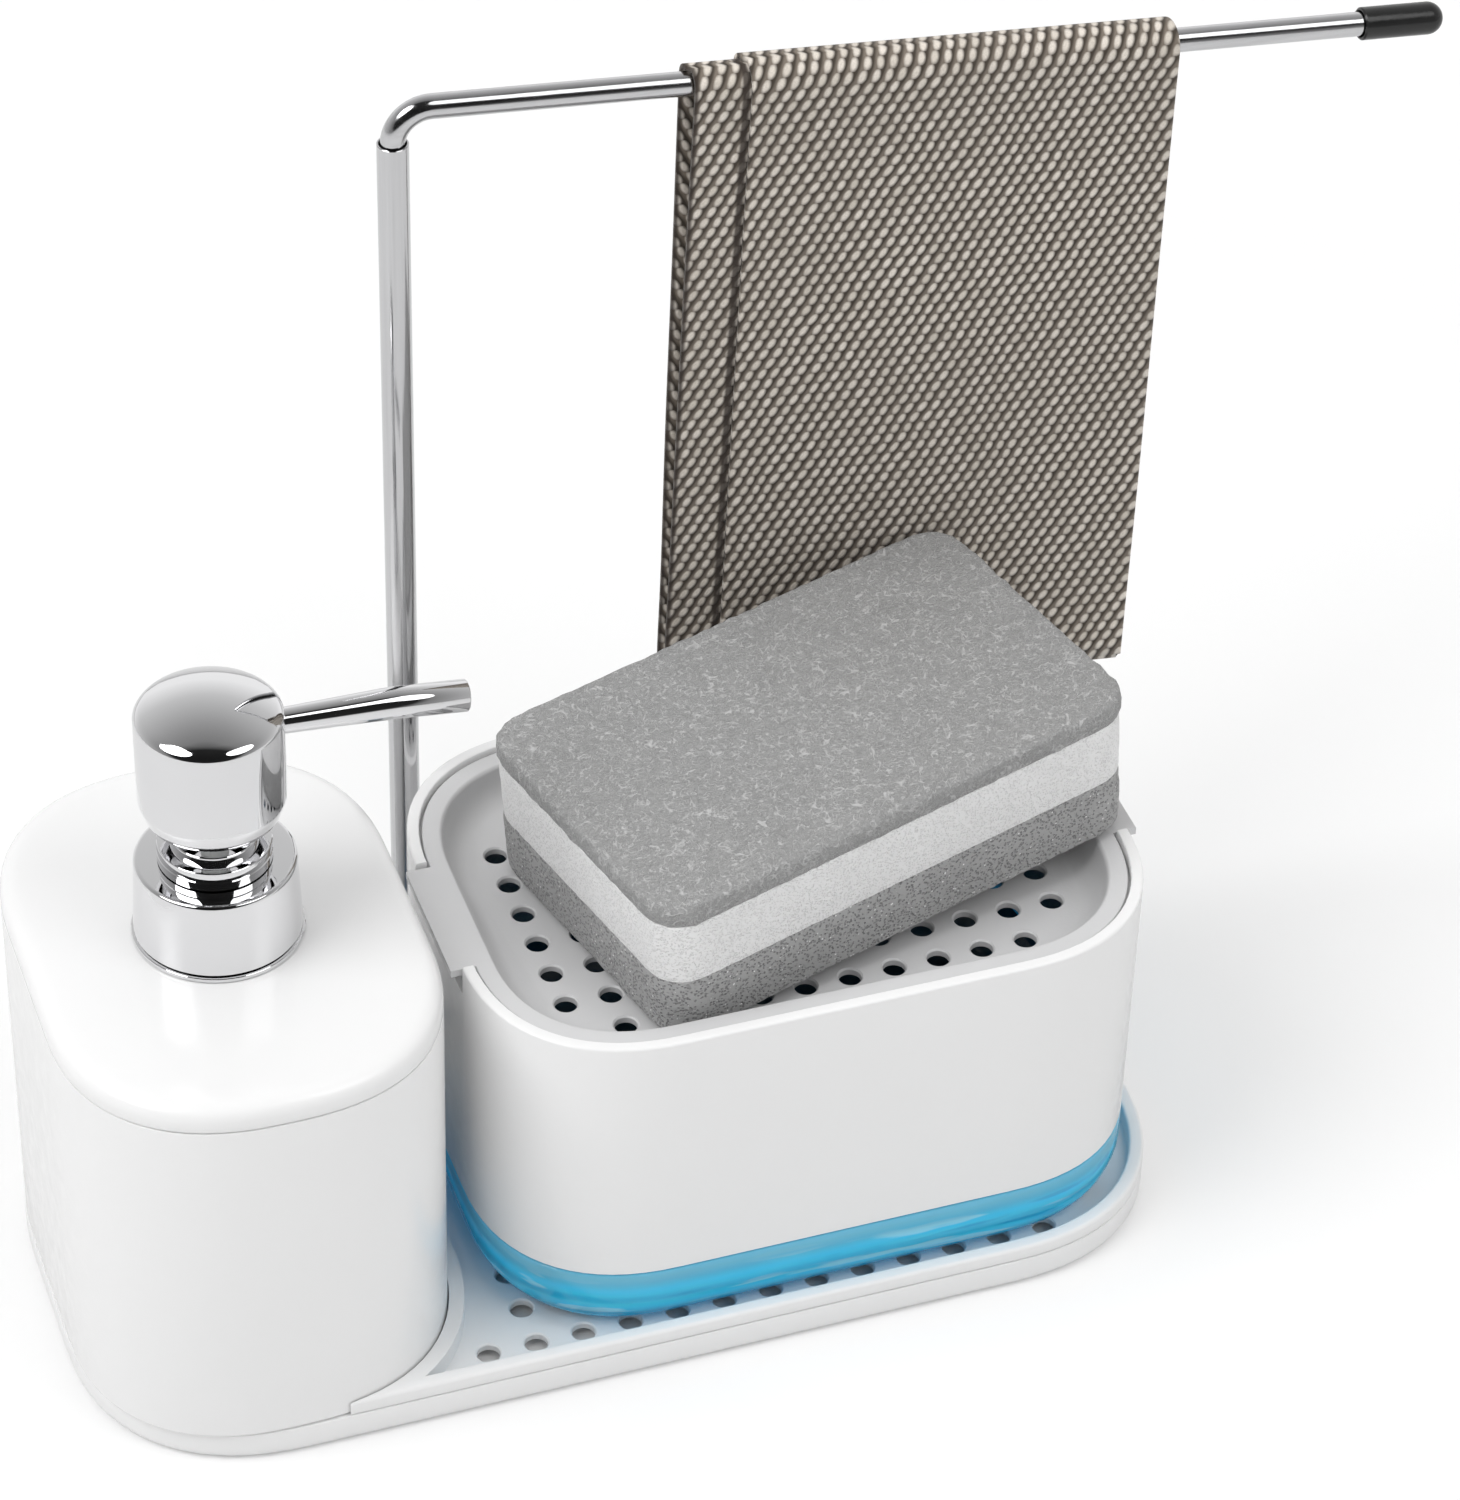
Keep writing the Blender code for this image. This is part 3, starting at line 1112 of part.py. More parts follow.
def build():
    tray = frame("tray_axis", 0.0, 0.0, 0.0)
    base_pan(tray)
    foot_pads(tray)
    drain_insert(tray)

    post = frame("post_axis", POST_X, POST_Y, 0.0)
    towel_post(post)
    elbow = frame("rod_elbow", POST_X, POST_Y, ROD_HEIGHT, (0.0, 0.0, ROD_YAW))
    towel_rod(elbow)
    rod_end_cap(elbow)
    hand_towel(elbow)

    bottle = frame("bottle_axis", BOTTLE_X, BOTTLE_Y, 0.0)
    for make in (bottle_body, bottle_lid, bottle_neck, base_ring):
        make(bottle)
    pump = frame("pump_axis", BOTTLE_X, BOTTLE_Y, 0.0)
    for make in (pump_collar, neck_gasket, lock_sleeve, pump_housing, dip_tube, inlet_ball, pump_spring):
        make(pump)
    plunger(pump)
    pump_head(pump)
    pump_spout(pump)

    caddy = frame("caddy_axis", CADDY_X, 0.0, 0.0)
    drip_basin(caddy)
    caddy_shell(caddy)
    strainer(caddy)
    height, tilt = sponge_rest()
    sponge(frame("sponge_centre", SPONGE_X, SPONGE_Y, height, (0.0, tilt, SPONGE_YAW)))


build()
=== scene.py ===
"""The sink-side set dressed for the photograph: finer mouldings, woven towel, layered sponge and lights."""

import math

import bmesh
import bpy
from mathutils import Euler, Matrix, Vector, noise


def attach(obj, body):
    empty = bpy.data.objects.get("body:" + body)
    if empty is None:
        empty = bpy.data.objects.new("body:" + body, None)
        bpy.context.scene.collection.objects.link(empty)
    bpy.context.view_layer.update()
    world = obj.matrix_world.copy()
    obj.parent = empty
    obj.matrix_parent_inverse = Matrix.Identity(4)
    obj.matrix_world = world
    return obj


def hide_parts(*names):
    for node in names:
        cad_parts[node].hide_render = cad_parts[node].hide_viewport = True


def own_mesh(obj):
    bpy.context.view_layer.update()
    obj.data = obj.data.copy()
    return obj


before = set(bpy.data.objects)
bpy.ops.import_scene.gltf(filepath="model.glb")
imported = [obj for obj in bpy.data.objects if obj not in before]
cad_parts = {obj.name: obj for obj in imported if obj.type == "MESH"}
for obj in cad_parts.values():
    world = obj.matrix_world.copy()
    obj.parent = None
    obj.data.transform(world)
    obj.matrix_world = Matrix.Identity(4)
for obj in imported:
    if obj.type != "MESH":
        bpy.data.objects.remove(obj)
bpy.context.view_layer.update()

# Sizes, in metres. An outline is a half length, a half width and the size of its corners.

GAP = 0.0003
OVER = 0.004
FULLNESS = 2.35
CORNER_STEPS = 18
TURN_STEPS = 72

TRAY = (0.1145, 0.05385, 0.0408)
BOTTLE = (0.0382, 0.0520, 0.0370)
CADDY = (0.0701, 0.0496, 0.0355)
SPONGE = (0.0552, 0.0336, 0.0090)
BOTTLE_AT = Vector((-0.0762, -0.00185, 0.0))
CADDY_AT = Vector((0.0385, 0.0, 0.0))
POST_AT = Vector((-0.0251, 0.0460, 0.0))

POST = [(POST_AT.x, POST_AT.y)]
PAN_TOP, BOSS_RADIUS, BOSS_TOP = 0.0069, 0.00495, 0.0095
SEAM, CADDY_TOP = 0.0228, 0.0839
STRAINER_TOP, STRAINER_FLOOR, STRAINER_PLATE = 0.0829, 0.0755, 0.0016
NOTCH_HALF = 0.0161
DRAIN_PITCH = 0.0093

ROD_HEIGHT, ROD_RADIUS, ROD_LENGTH, ROD_BEND = 0.2412, 0.0024, 0.2098, 0.0070
ROD_YAW = math.radians(-0.46)
DROOP = math.radians(4.5)
CLOTH = 0.0011
TOWEL_START, TOWEL_STRIP, TOWEL_WIDTH = 0.0554, 0.0111, 0.1021
FRONT_DROP, BACK_DROP = 0.1565, 0.1500
LOOP_PITCH, ROW_PITCH = 0.0028, 0.0025

SPONGE_HALF = 0.0165
DARK_LAYER, LIGHT_LAYER = 0.0138, 0.0146
SPONGE_AT = (0.0471, 0.0034)
SPONGE_YAW = math.radians(14.1)


# Shapes


def outline(half_x, half_y, corner, inset=0.0, steps=CORNER_STEPS):
    """A level outline with full corners, drawn in by inset."""
    power = 2.0 / FULLNESS
    radius = corner - inset
    points = []
    for quarter in range(4):
        side_x = 1 if quarter in (0, 3) else -1
        side_y = 1 if quarter in (0, 1) else -1
        for step in range(steps + 1):
            turn = step if quarter in (0, 2) else steps - step
            angle = math.pi / 2 * turn / steps
            x = half_x - corner + radius * max(math.cos(angle), 0.0) ** power
            y = half_y - corner + radius * max(math.sin(angle), 0.0) ** power
            points.append((side_x * x, side_y * y))
    return points


def inside(x, y, half_x, half_y, corner, inset=0.0):
    radius = corner - inset
    along = max(abs(x) - (half_x - corner), 0.0) / radius
    across = max(abs(y) - (half_y - corner), 0.0) / radius
    return along**FULLNESS + across**FULLNESS <= 1.0


def rounded(start, corner, end, steps=5):
    """The points of a curve from start to end that leaves and arrives along the lines through corner."""
    points = []
    for step in range(steps + 1):
        t = step / steps
        first, middle, last = (1 - t) ** 2, 2 * t * (1 - t), t * t
        points.append(tuple(first * a + middle * b + last * c for a, b, c in zip(start, corner, end)))
    return points


def circle(radius, height, sides, x=0.0, y=0.0):
    angles = [2 * math.pi * k / sides for k in range(sides)]
    return [(x + radius * math.cos(angle), y + radius * math.sin(angle), height) for angle in angles]


def mesh_of(shape, name):
    mesh = bpy.data.meshes.new(name)
    shape.to_mesh(mesh)
    shape.free()
    return mesh


def closed_mesh(shape, name):
    bmesh.ops.recalc_face_normals(shape, faces=shape.faces)
    return mesh_of(shape, name)


def skin(shape, low, high):
    """The side faces between two closed rows of points."""
    for k, corner in enumerate(low):
        after = (k + 1) % len(low)
        shape.faces.new((corner, low[after], high[after], high[k]))


def loft(name, rings, loop=False):
    shape = bmesh.new()
    rows = [[shape.verts.new(point) for point in ring] for ring in rings]
    if loop:
        rows.append(rows[0])
    else:
        shape.faces.new(rows[0])
        shape.faces.new(rows[-1])
    for low, high in zip(rows, rows[1:]):
        skin(shape, low, high)
    return closed_mesh(shape, name)


def walled(name, size, section, loop=False):
    """A form that has the outline of size, drawn in by each inset of its (inset, height) points."""
    return loft(name, [[(x, y, height) for x, y in outline(*size, inset)] for inset, height in section], loop)


def turned(name, profile, ring=False):
    """A piece turned about Z from (radius, height) points; a radius of 0 at either end closes it."""
    shape = bmesh.new()
    rows = []
    for radius, height in profile:
        points = circle(radius, height, TURN_STEPS) if radius else [(0.0, 0.0, height)]
        rows.append([shape.verts.new(point) for point in points])
    if ring:
        rows.append(rows[0])
    for low, high in zip(rows, rows[1:]):
        for step in range(TURN_STEPS):
            after = (step + 1) % TURN_STEPS
            around = ((low, step), (low, after), (high, after), (high, step))
            corners = [row[index % len(row)] for row, index in around]
            unique = [corner for index, corner in enumerate(corners) if corner not in corners[:index]]
            if len(unique) > 2:
                shape.faces.new(unique)
    return closed_mesh(shape, name)


def tube(name, points, radii, sides, bore=0.0, nose=0.0):
    """A round bar along points, with its own radius at each, chamfered ends of size nose, and any bore."""
    points = [Vector(point) for point in points]
    befores, afters = points[:1] + points[:-1], points[1:] + points[-1:]
    tangents = [(after - before).normalized() for before, after in zip(befores, afters)]
    angles = [2 * math.pi * k / sides for k in range(sides)]
    side = tangents[0].orthogonal().normalized()
    across_ways = []
    for tangent in tangents:
        side = (side - tangent * side.dot(tangent)).normalized()
        across_ways.append(side.copy())

    def ring_at(index, radius, shift=0.0):
        tangent, across = tangents[index], across_ways[index]
        centre, up = points[index] + tangent * shift, tangent.cross(across)
        return [centre + radius * (math.cos(angle) * across + math.sin(angle) * up) for angle in angles]

    rows = [ring_at(index, radius) for index, radius in enumerate(radii)]
    if nose:
        rows[:1] = [ring_at(0, radii[0] - nose), ring_at(0, radii[0], nose)]
        rows[-1:] = [ring_at(-1, radii[-1], -nose), ring_at(-1, radii[-1] - nose)]
    if bore:
        rows += [ring_at(index, bore) for index in reversed(range(len(points)))]
    return loft(name, rows, loop=bool(bore))


def arc(centre, start, end, steps):
    arm, last = start - centre, end - centre
    return [centre + arm.slerp(last, k / steps).normalized() * arm.length for k in range(steps + 1)]


def holes(name, radius, low, high, centres, sides=20, top=0.0, flare=0.0):
    """Upright cutters, each flared by a small chamfer where it leaves the surface at top."""
    past = 0.0001
    wide = radius + flare + past
    levels = [(radius, low), (radius, high)]
    if flare:
        levels[1:] = [(radius, top - flare), (wide, top + past), (wide, high)]
    shape = bmesh.new()
    for x, y in centres:
        rows = []
        for size, height in levels:
            rows.append([shape.verts.new(point) for point in circle(size, height, sides, x, y)])
        shape.faces.new(rows[0][::-1])
        shape.faces.new(rows[-1])
        for below, above in zip(rows, rows[1:]):
            skin(shape, below, above)
    return closed_mesh(shape, name)


def block(name, low, high):
    low, high = Vector(low), Vector(high)
    shape = bmesh.new()
    bmesh.ops.create_cube(shape, size=1.0)
    bmesh.ops.scale(shape, vec=high - low, verts=shape.verts)
    bmesh.ops.translate(shape, vec=(low + high) / 2, verts=shape.verts)
    return mesh_of(shape, name)


def moved(mesh, offset):
    mesh.transform(Matrix.Translation(offset))
    return mesh


def carved(mesh, joins=(), cuts=()):
    """The mesh after booleans: the meshes of joins are added to it, then those of cuts are taken away."""
    made = [bpy.data.objects.new("carving", mesh)]
    for operation, tool in [("UNION", tool) for tool in joins] + [("DIFFERENCE", tool) for tool in cuts]:
        cutter = bpy.data.objects.new("carving_tool", tool)
        made.append(cutter)
        modifier = made[0].modifiers.new("carve", "BOOLEAN")
        modifier.operation = operation
        modifier.solver = "EXACT"
        modifier.object = cutter
    for obj in made:
        bpy.context.scene.collection.objects.link(obj)
    bpy.context.view_layer.update()
    result = bpy.data.meshes.new_from_object(made[0].evaluated_get(bpy.context.evaluated_depsgraph_get()))
    for obj in made:
        bpy.data.objects.remove(obj, do_unlink=True)
    return result


def put(name, mesh, look, body, node, where=None, smooth=32.0):
    """The finished piece: placed in the frame, smoothed, dressed, riding on its body for its CAD node."""
    if where is not None:
        mesh.transform(where)
    mesh.shade_smooth()
    mesh.set_sharp_from_angle(angle=math.radians(smooth))
    obj = bpy.data.objects.new(name, mesh)
    bpy.context.scene.collection.objects.link(obj)
    obj.data.materials.clear()
    obj.data.materials.append(look)
    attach(obj, body)
    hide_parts(node)
    return obj


def dress(node, look):
    """A CAD node that stays, with a finished material in place of its plain one."""
    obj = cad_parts[node]
    obj.data.materials.clear()
    obj.data.materials.append(look)


# Looks


def grey(value):
    return (value, value, value)


class Nodes:
    """A node tree that is built node by node. A node's inputs are given by name or by index."""

    def __init__(self, tree):
        self.tree = tree

    def node(self, kind, inputs=None, **settings):
        """The outputs of a new node, whose inputs are set to plain values or linked to other outputs."""
        made = self.tree.nodes.new(kind)
        for key, value in settings.items():
            setattr(made, key, value)
        for key, value in (inputs or {}).items():
            self.feed(made.inputs[key], value)
        return made.outputs

    def feed(self, socket, value):
        if isinstance(value, bpy.types.NodeSocket):
            self.tree.links.new(value, socket)
        else:
            socket.default_value = value

    def math(self, operation, *values):
        return self.node("ShaderNodeMath", dict(enumerate(values)), operation=operation)["Value"]

    def vectors(self, operation, *values):
        return self.node("ShaderNodeVectorMath", dict(enumerate(values)), operation=operation)


class Look(Nodes):
    """A Principled material whose colour, roughness and relief come from procedural nodes."""

    def __init__(self, name, colour, roughness, metallic=0.0):
        self.material = bpy.data.materials.new(name)
        self.material.use_nodes = True
        super().__init__(self.material.node_tree)
        self.shader = self.tree.nodes["Principled BSDF"].inputs
        self.set("Base Color", (*colour, 1.0))
        self.set("Roughness", roughness)
        self.set("Metallic", metallic)
        self.place = self.node("ShaderNodeTexCoord")["Object"]

    def set(self, socket, value):
        self.feed(self.shader[socket], value)

    def stretched(self, scale, **inputs):
        return self.node("ShaderNodeMapping", {"Vector": self.place, "Scale": scale, **inputs})["Vector"]

    def noise(self, scale, detail=2.0, rough=0.5, vector=None, distortion=0.0):
        inputs = {"Vector": vector or self.place, "Scale": scale, "Detail": detail}
        inputs.update({"Roughness": rough, "Distortion": distortion})
        return self.node("ShaderNodeTexNoise", inputs)["Fac"]

    def cells(self, scale):
        return self.node("ShaderNodeTexVoronoi", {"Vector": self.place, "Scale": scale})["Distance"]

    def range(self, value, low, high, out_low=0.0, out_high=1.0, smooth=False):
        inputs = dict(enumerate((value, low, high, out_low, out_high)))
        kind = "SMOOTHSTEP" if smooth else "LINEAR"
        return self.node("ShaderNodeMapRange", inputs, interpolation_type=kind)["Result"]

    def apart(self, value, middle):
        return self.math("ABSOLUTE", self.math("SUBTRACT", value, middle))

    def mix(self, share, first, second):
        first, second = ((*end, 1.0) if isinstance(end, tuple) else end for end in (first, second))
        return self.node("ShaderNodeMix", {"Factor": share, 6: first, 7: second}, data_type="RGBA")[2]

    def relief(self, height, distance, strength=1.0):
        inputs = {"Height": height, "Distance": distance, "Strength": strength}
        self.set("Normal", self.node("ShaderNodeBump", inputs)["Normal"])


def plastic(name, light, dark, rough_low, rough_high, grain=0.00001):
    look = Look(name, light, rough_low)
    look.set("Base Color", look.mix(look.noise(28.0, 3.0), dark, light))
    look.set("Roughness", look.range(look.noise(240.0, 4.0, 0.6), 0.3, 0.7, rough_low, rough_high))
    look.relief(look.noise(1600.0, 2.0), grain)
    return look.material


def chrome(name, colour, dull, low, high):
    look = Look(name, colour, low, 1.0)
    look.set("Base Color", look.mix(look.noise(60.0, 3.0), tuple(v * dull for v in colour), colour))
    look.set("Roughness", look.range(look.noise(320.0, 5.0, 0.6), 0.35, 0.75, low, high))
    look.relief(look.noise(90.0, 1.0), 0.00001, 0.3)
    return look.material


def steel(name, stretch):
    look = Look(name, (0.62, 0.62, 0.63), 0.12, 1.0)
    streaks = look.noise(1.0, 4.0, 0.7, look.stretched(stretch))
    look.set("Base Color", look.mix(streaks, (0.50, 0.50, 0.51), (0.74, 0.74, 0.75)))
    look.set("Roughness", look.range(streaks, 0.3, 0.7, 0.08, 0.2))
    look.relief(streaks, 0.00001, 0.4)
    return look.material


def rubber(name, colour, low, high):
    look = Look(name, colour, low)
    look.set("Base Color", look.mix(look.noise(120.0, 3.0), colour, tuple(v * 1.25 for v in colour)))
    look.set("Roughness", look.range(look.noise(500.0, 3.0), 0.3, 0.7, low, high))
    look.relief(look.noise(1300.0, 2.0), 0.00002)
    return look.material


def clear_blue():
    """Clear cyan plastic in wavy bands, with pale streaks that are painted highlights, and an emission that
    glows with painted light, most on the bands' crests; paler and greyer towards the seam, a painted shade of
    the inside seen through the wall; dark grey painted shade on its floor and on faces seen from inside.
    """
    band_at, band_rate, band_sway = 0.0175, 1257.0, 0.0040
    seam_shade_from, seam_shade_to = 0.0165, 0.0225
    wall_depth, floor_depth = 0.006, 0.014
    middle = (CADDY_AT.x, 0.0, 0.015)
    # Colours: deep for darker streaks, pale for painted highlight streaks, and the last for the painted shade
    # of the inside.
    deep, pale, inside_shade = (0.01, 0.30, 0.62), (0.50, 0.90, 1.0), (0.13, 0.17, 0.19)

    look = Look("basin_clear_blue", (0.03, 0.62, 0.95), 0.05)
    axes = look.node("ShaderNodeSeparateXYZ", {"Vector": look.place})
    swirl = look.noise(45.0, 3.0, 0.5, look.stretched((0.5, 2.0, 3.0)))
    body = look.mix(look.range(swirl, 0.35, 0.7), (0.02, 0.62, 0.97), (0.10, 0.78, 1.0))
    streak = look.noise(150.0, 2.0, 0.5, look.stretched((0.22, 0.6, 2.0)))
    body = look.mix(look.range(streak, 0.42, 0.34, 0.0, 0.65), body, deep)
    # Painted highlight: pale streaks in the plastic.
    body = look.mix(look.range(streak, 0.60, 0.66, 0.0, 0.70), body, pale)
    level = look.math("MULTIPLY_ADD", look.noise(22.0, 2.0), band_sway, axes["Z"])
    wave = look.math("COSINE", look.math("MULTIPLY", look.math("SUBTRACT", level, band_at), band_rate))
    body = look.mix(look.range(wave, 0.1, 1.0, 0.0, 0.55), body, (0.01, 0.36, 0.66))
    # The bands' crests, where the painted emission light is strongest.
    painted_glow_crest = look.range(wave, 0.0, -1.0, 0.0, 1.0)
    # Painted shade: paler and greyer towards the seam, standing for the inside seen through the wall.
    body = look.mix(look.range(axes["Z"], seam_shade_from, seam_shade_to, smooth=True), body, (0.22, 0.62, 0.78))

    from_x = look.apart(axes["X"], CADDY_AT.x)
    from_y = look.math("ABSOLUTE", axes["Y"])
    floor_x = look.range(from_x, CADDY[0] - wall_depth, CADDY[0] - floor_depth, smooth=True)
    floor_y = look.range(from_y, CADDY[1] - wall_depth, CADDY[1] - floor_depth, smooth=True)
    outward = look.vectors("SUBTRACT", look.place, middle)["Vector"]
    facing = look.vectors("DOT_PRODUCT", outward, look.node("ShaderNodeNewGeometry")["Normal"])["Value"]
    inner = look.range(facing, 0.002, -0.002)
    # The floor and the faces seen from inside: painted shade in dark grey, a higher alpha and no emission
    # there.
    shaded_inside = look.math("MAXIMUM", look.math("MULTIPLY", floor_x, floor_y), inner)
    look.set("Base Color", look.mix(shaded_inside, body, inside_shade))
    look.set("Alpha", look.range(shaded_inside, 0.0, 1.0, 0.70, 0.90))
    look.set("Roughness", look.range(look.noise(200.0, 3.0), 0.3, 0.7, 0.03, 0.09))
    look.relief(look.noise(60.0, 2.0), 0.00008, 0.5)
    # Painted light: an emission on the outer faces, bluer and stronger on the bands' crests, and none on the
    # inside.
    painted_glow = look.mix(painted_glow_crest, (0.001, 0.038, 0.080), (0.005, 0.088, 0.180))
    look.set("Emission Color", look.mix(shaded_inside, painted_glow, grey(0.0)))
    look.set("Emission Strength", 1.0)
    return look.material


def towel_look():
    """Slanted oval loops of pale yarn in staggered rows over brown yarn, with painted shade in dark lines
    along its left edges. The UV map counts loops and rows.
    """
    bright_yarn, worn_yarn, yarn_shade = (0.92, 0.85, 0.77), (0.70, 0.64, 0.56), (0.44, 0.39, 0.33)
    dark_ground, brown_ground, dust = (0.050, 0.038, 0.027), (0.215, 0.180, 0.145), (0.16, 0.135, 0.11)
    # The last colour here paints shade: the dark lines at the left edges.
    hem = (0.035, 0.024, 0.018)
    loop_slant, loop_wide, loop_tall, edge_shade_in = -0.34, 0.36, 0.62, 0.0004

    look = Look("towel_weave", (0.42, 0.38, 0.33), 0.9)
    look.set("Sheen Weight", 0.12)
    look.set("Sheen Roughness", 0.5)
    spot = look.node("ShaderNodeUVMap", uv_map="weave")["UV"]
    parts = look.node("ShaderNodeSeparateXYZ", {"Vector": spot})
    shift = look.range(look.noise(0.25, 1.0, vector=spot), 0.3, 0.7, -0.13, 0.13)
    along = look.math("ADD", parts["X"], shift)
    down = look.math("ADD", parts["Y"], look.math("MULTIPLY", shift, 0.5))
    row = look.math("FLOOR", down)
    odd = look.math("MULTIPLY", look.math("MODULO", look.math("ABSOLUTE", row), 2.0), 0.5)
    here = look.math("ADD", along, odd)
    x = look.math("SUBTRACT", look.math("FRACT", here), 0.5)
    y = look.math("SUBTRACT", look.math("FRACT", down), 0.5)
    slant = look.math("MULTIPLY_ADD", y, loop_slant, x)
    wide = look.math("POWER", look.math("DIVIDE", slant, loop_wide), 2.0)
    tall = look.math("POWER", look.math("DIVIDE", y, loop_tall), 2.0)
    loop = look.range(look.math("ADD", wide, tall), 1.05, 0.10, smooth=True)
    slope = look.math("FRACT", look.math("MULTIPLY_ADD", down, -0.5, along))
    between = look.range(look.apart(slope, 0.5), 0.12, 0.42, smooth=True)
    fine = look.noise(2600.0, 2.0, 0.6)
    cell = look.node("ShaderNodeCombineXYZ", {"X": look.math("FLOOR", here), "Y": row})["Vector"]
    each = look.node("ShaderNodeTexWhiteNoise", {"Vector": cell}, noise_dimensions="2D")["Value"]
    yarn = look.mix(look.range(each, 0.0, 1.0, 0.0, 0.8), bright_yarn, worn_yarn)
    yarn = look.mix(look.range(fine, 0.3, 0.75, 0.0, 0.35), yarn, yarn_shade)
    woven = look.mix(loop, look.mix(between, dark_ground, brown_ground), yarn)
    woven = look.mix(look.range(look.noise(24.0, 3.0, 0.6), 0.35, 0.7, 0.0, 0.16), woven, dust)
    # Painted shade: a dark line at the inner layer's left edge, for the shaded back drop beside it, and one
    # just left of the outer layer's edge, which shades the strip.
    for edge, reach in ((TOWEL_START, 0.5), (TOWEL_START + TOWEL_STRIP - edge_shade_in, 0.42)):
        away = look.apart(parts["X"], edge / LOOP_PITCH)
        woven = look.mix(look.range(away, reach, reach * 0.3, 0.0, 0.88, smooth=True), woven, hem)
    look.set("Base Color", woven)
    look.relief(look.math("MULTIPLY_ADD", fine, 0.2, loop), 0.00040, 0.8)
    return look.material


def fibre_web(look, scales, width):
    """Thin wandering fibres: the lines where each of several noises crosses its middle."""
    web = None
    for index, scale in enumerate(scales):
        turn = look.stretched(
            (1.0, 1.0 + 0.5 * (index % 2), 1.0),
            Location=(0.13 * index, 0.37 * index, 0.71 * index),
            Rotation=(0.3 * index, 0.5 * index, 1.1 * index),
        )
        field = look.noise(scale, 1.0, 0.5, turn, 0.6)
        line = look.range(look.apart(field, 0.5), 0.0, width, 1.0, 0.0, smooth=True)
        web = line if web is None else look.math("MAXIMUM", web, line)
    return web


def scouring_look():
    """Pressed grey fibres: pale ones over a mottled ground, with darker ones painted as the shade deeper
    down.
    """
    look = Look("scouring_fibre", grey(0.36), 0.85)
    web = fibre_web(look, (330.0, 420.0, 520.0, 610.0, 740.0), 0.028)
    # Painted shade: a second web of darker fibres for the shade deeper in the pad.
    deep = fibre_web(look, (380.0, 560.0), 0.05)
    base = look.mix(look.noise(500.0, 4.0, 0.8), grey(0.29), grey(0.38))
    base = look.mix(look.range(look.noise(16.0, 3.0), 0.3, 0.7, 0.0, 0.30), base, grey(0.41))
    base = look.mix(look.math("MULTIPLY", deep, 0.40), base, grey(0.22))
    look.set("Base Color", look.mix(look.math("MULTIPLY", web, 0.62), base, grey(0.62)))
    look.relief(look.math("ADD", web, look.noise(600.0, 3.0)), 0.00025, 0.7)
    return look.material


def foam_look(name, light, dark, pore, deep, painted_glint=0.0):
    """Open foam: small round pores of mixed sizes with painted shade inside them, and, where asked for,
    painted glints: small bright points in patches.
    """
    look = Look(name, light, 0.9)
    small, large = look.cells(pore), look.cells(pore * 0.55)
    pore_shade = look.range(small, 0.16, 0.44, smooth=True)
    wide = look.range(large, 0.12, 0.36, smooth=True)
    wall = look.math("MULTIPLY", pore_shade, look.math("MULTIPLY_ADD", wide, 0.6, 0.4))
    # Painted shade: each pore is darker inside, in the dark colour, which also gives the random darker
    # mottling below.
    tone = look.mix(wall, dark, light)
    tone = look.mix(look.range(look.noise(90.0, 4.0, 0.7), 0.3, 0.7, 0.0, 0.25), tone, dark)
    # Painted glints: small bright points, in patches, over the foam.
    if painted_glint:
        points = look.range(look.cells(1000.0), 0.24, 0.12)
        patches = look.range(look.noise(520.0, 2.0), 0.52, 0.58)
        painted_spark = look.math("MULTIPLY", look.math("MULTIPLY", points, patches), painted_glint)
        tone = look.mix(painted_spark, tone, grey(0.92))
    look.set("Base Color", tone)
    look.relief(wall, deep, 0.8)
    return look.material


WHITE = plastic("gloss_white", grey(0.90), grey(0.885), 0.16, 0.24)
TRAY_WHITE = plastic("tray_white", grey(0.90), grey(0.885), 0.34, 0.42)
STRAINER_GREY = plastic("strainer_grey", (0.66, 0.66, 0.665), (0.63, 0.63, 0.635), 0.28, 0.38, 0.00002)
NATURAL = plastic("pump_natural", (0.80, 0.81, 0.80), (0.77, 0.78, 0.77), 0.35, 0.45)
CHROME = chrome("bright_chrome", (0.80, 0.80, 0.81), 0.96, 0.02, 0.07)
TUBE_STEEL = steel("tube_steel", (900.0, 900.0, 14.0))
ROD_STEEL = steel("rod_steel", (14.0, 900.0, 900.0))
BLACK = rubber("cap_black", grey(0.012), 0.16, 0.26)
SOFT_WHITE = rubber("pad_white", (0.62, 0.62, 0.61), 0.6, 0.75)
BLUE = clear_blue()
WEAVE = towel_look()
SCOUR = scouring_look()
# Each foam's darker grey paints the shade in its pores and also its mottling; the dark foam's last number
# sets its painted glints.
LIGHT_FOAM = foam_look("foam_light", grey(0.90), grey(0.74), 2100.0, 0.0002)
DARK_FOAM = foam_look("foam_dark", grey(0.43), grey(0.24), 1500.0, 0.0004, 0.9)


# Tray


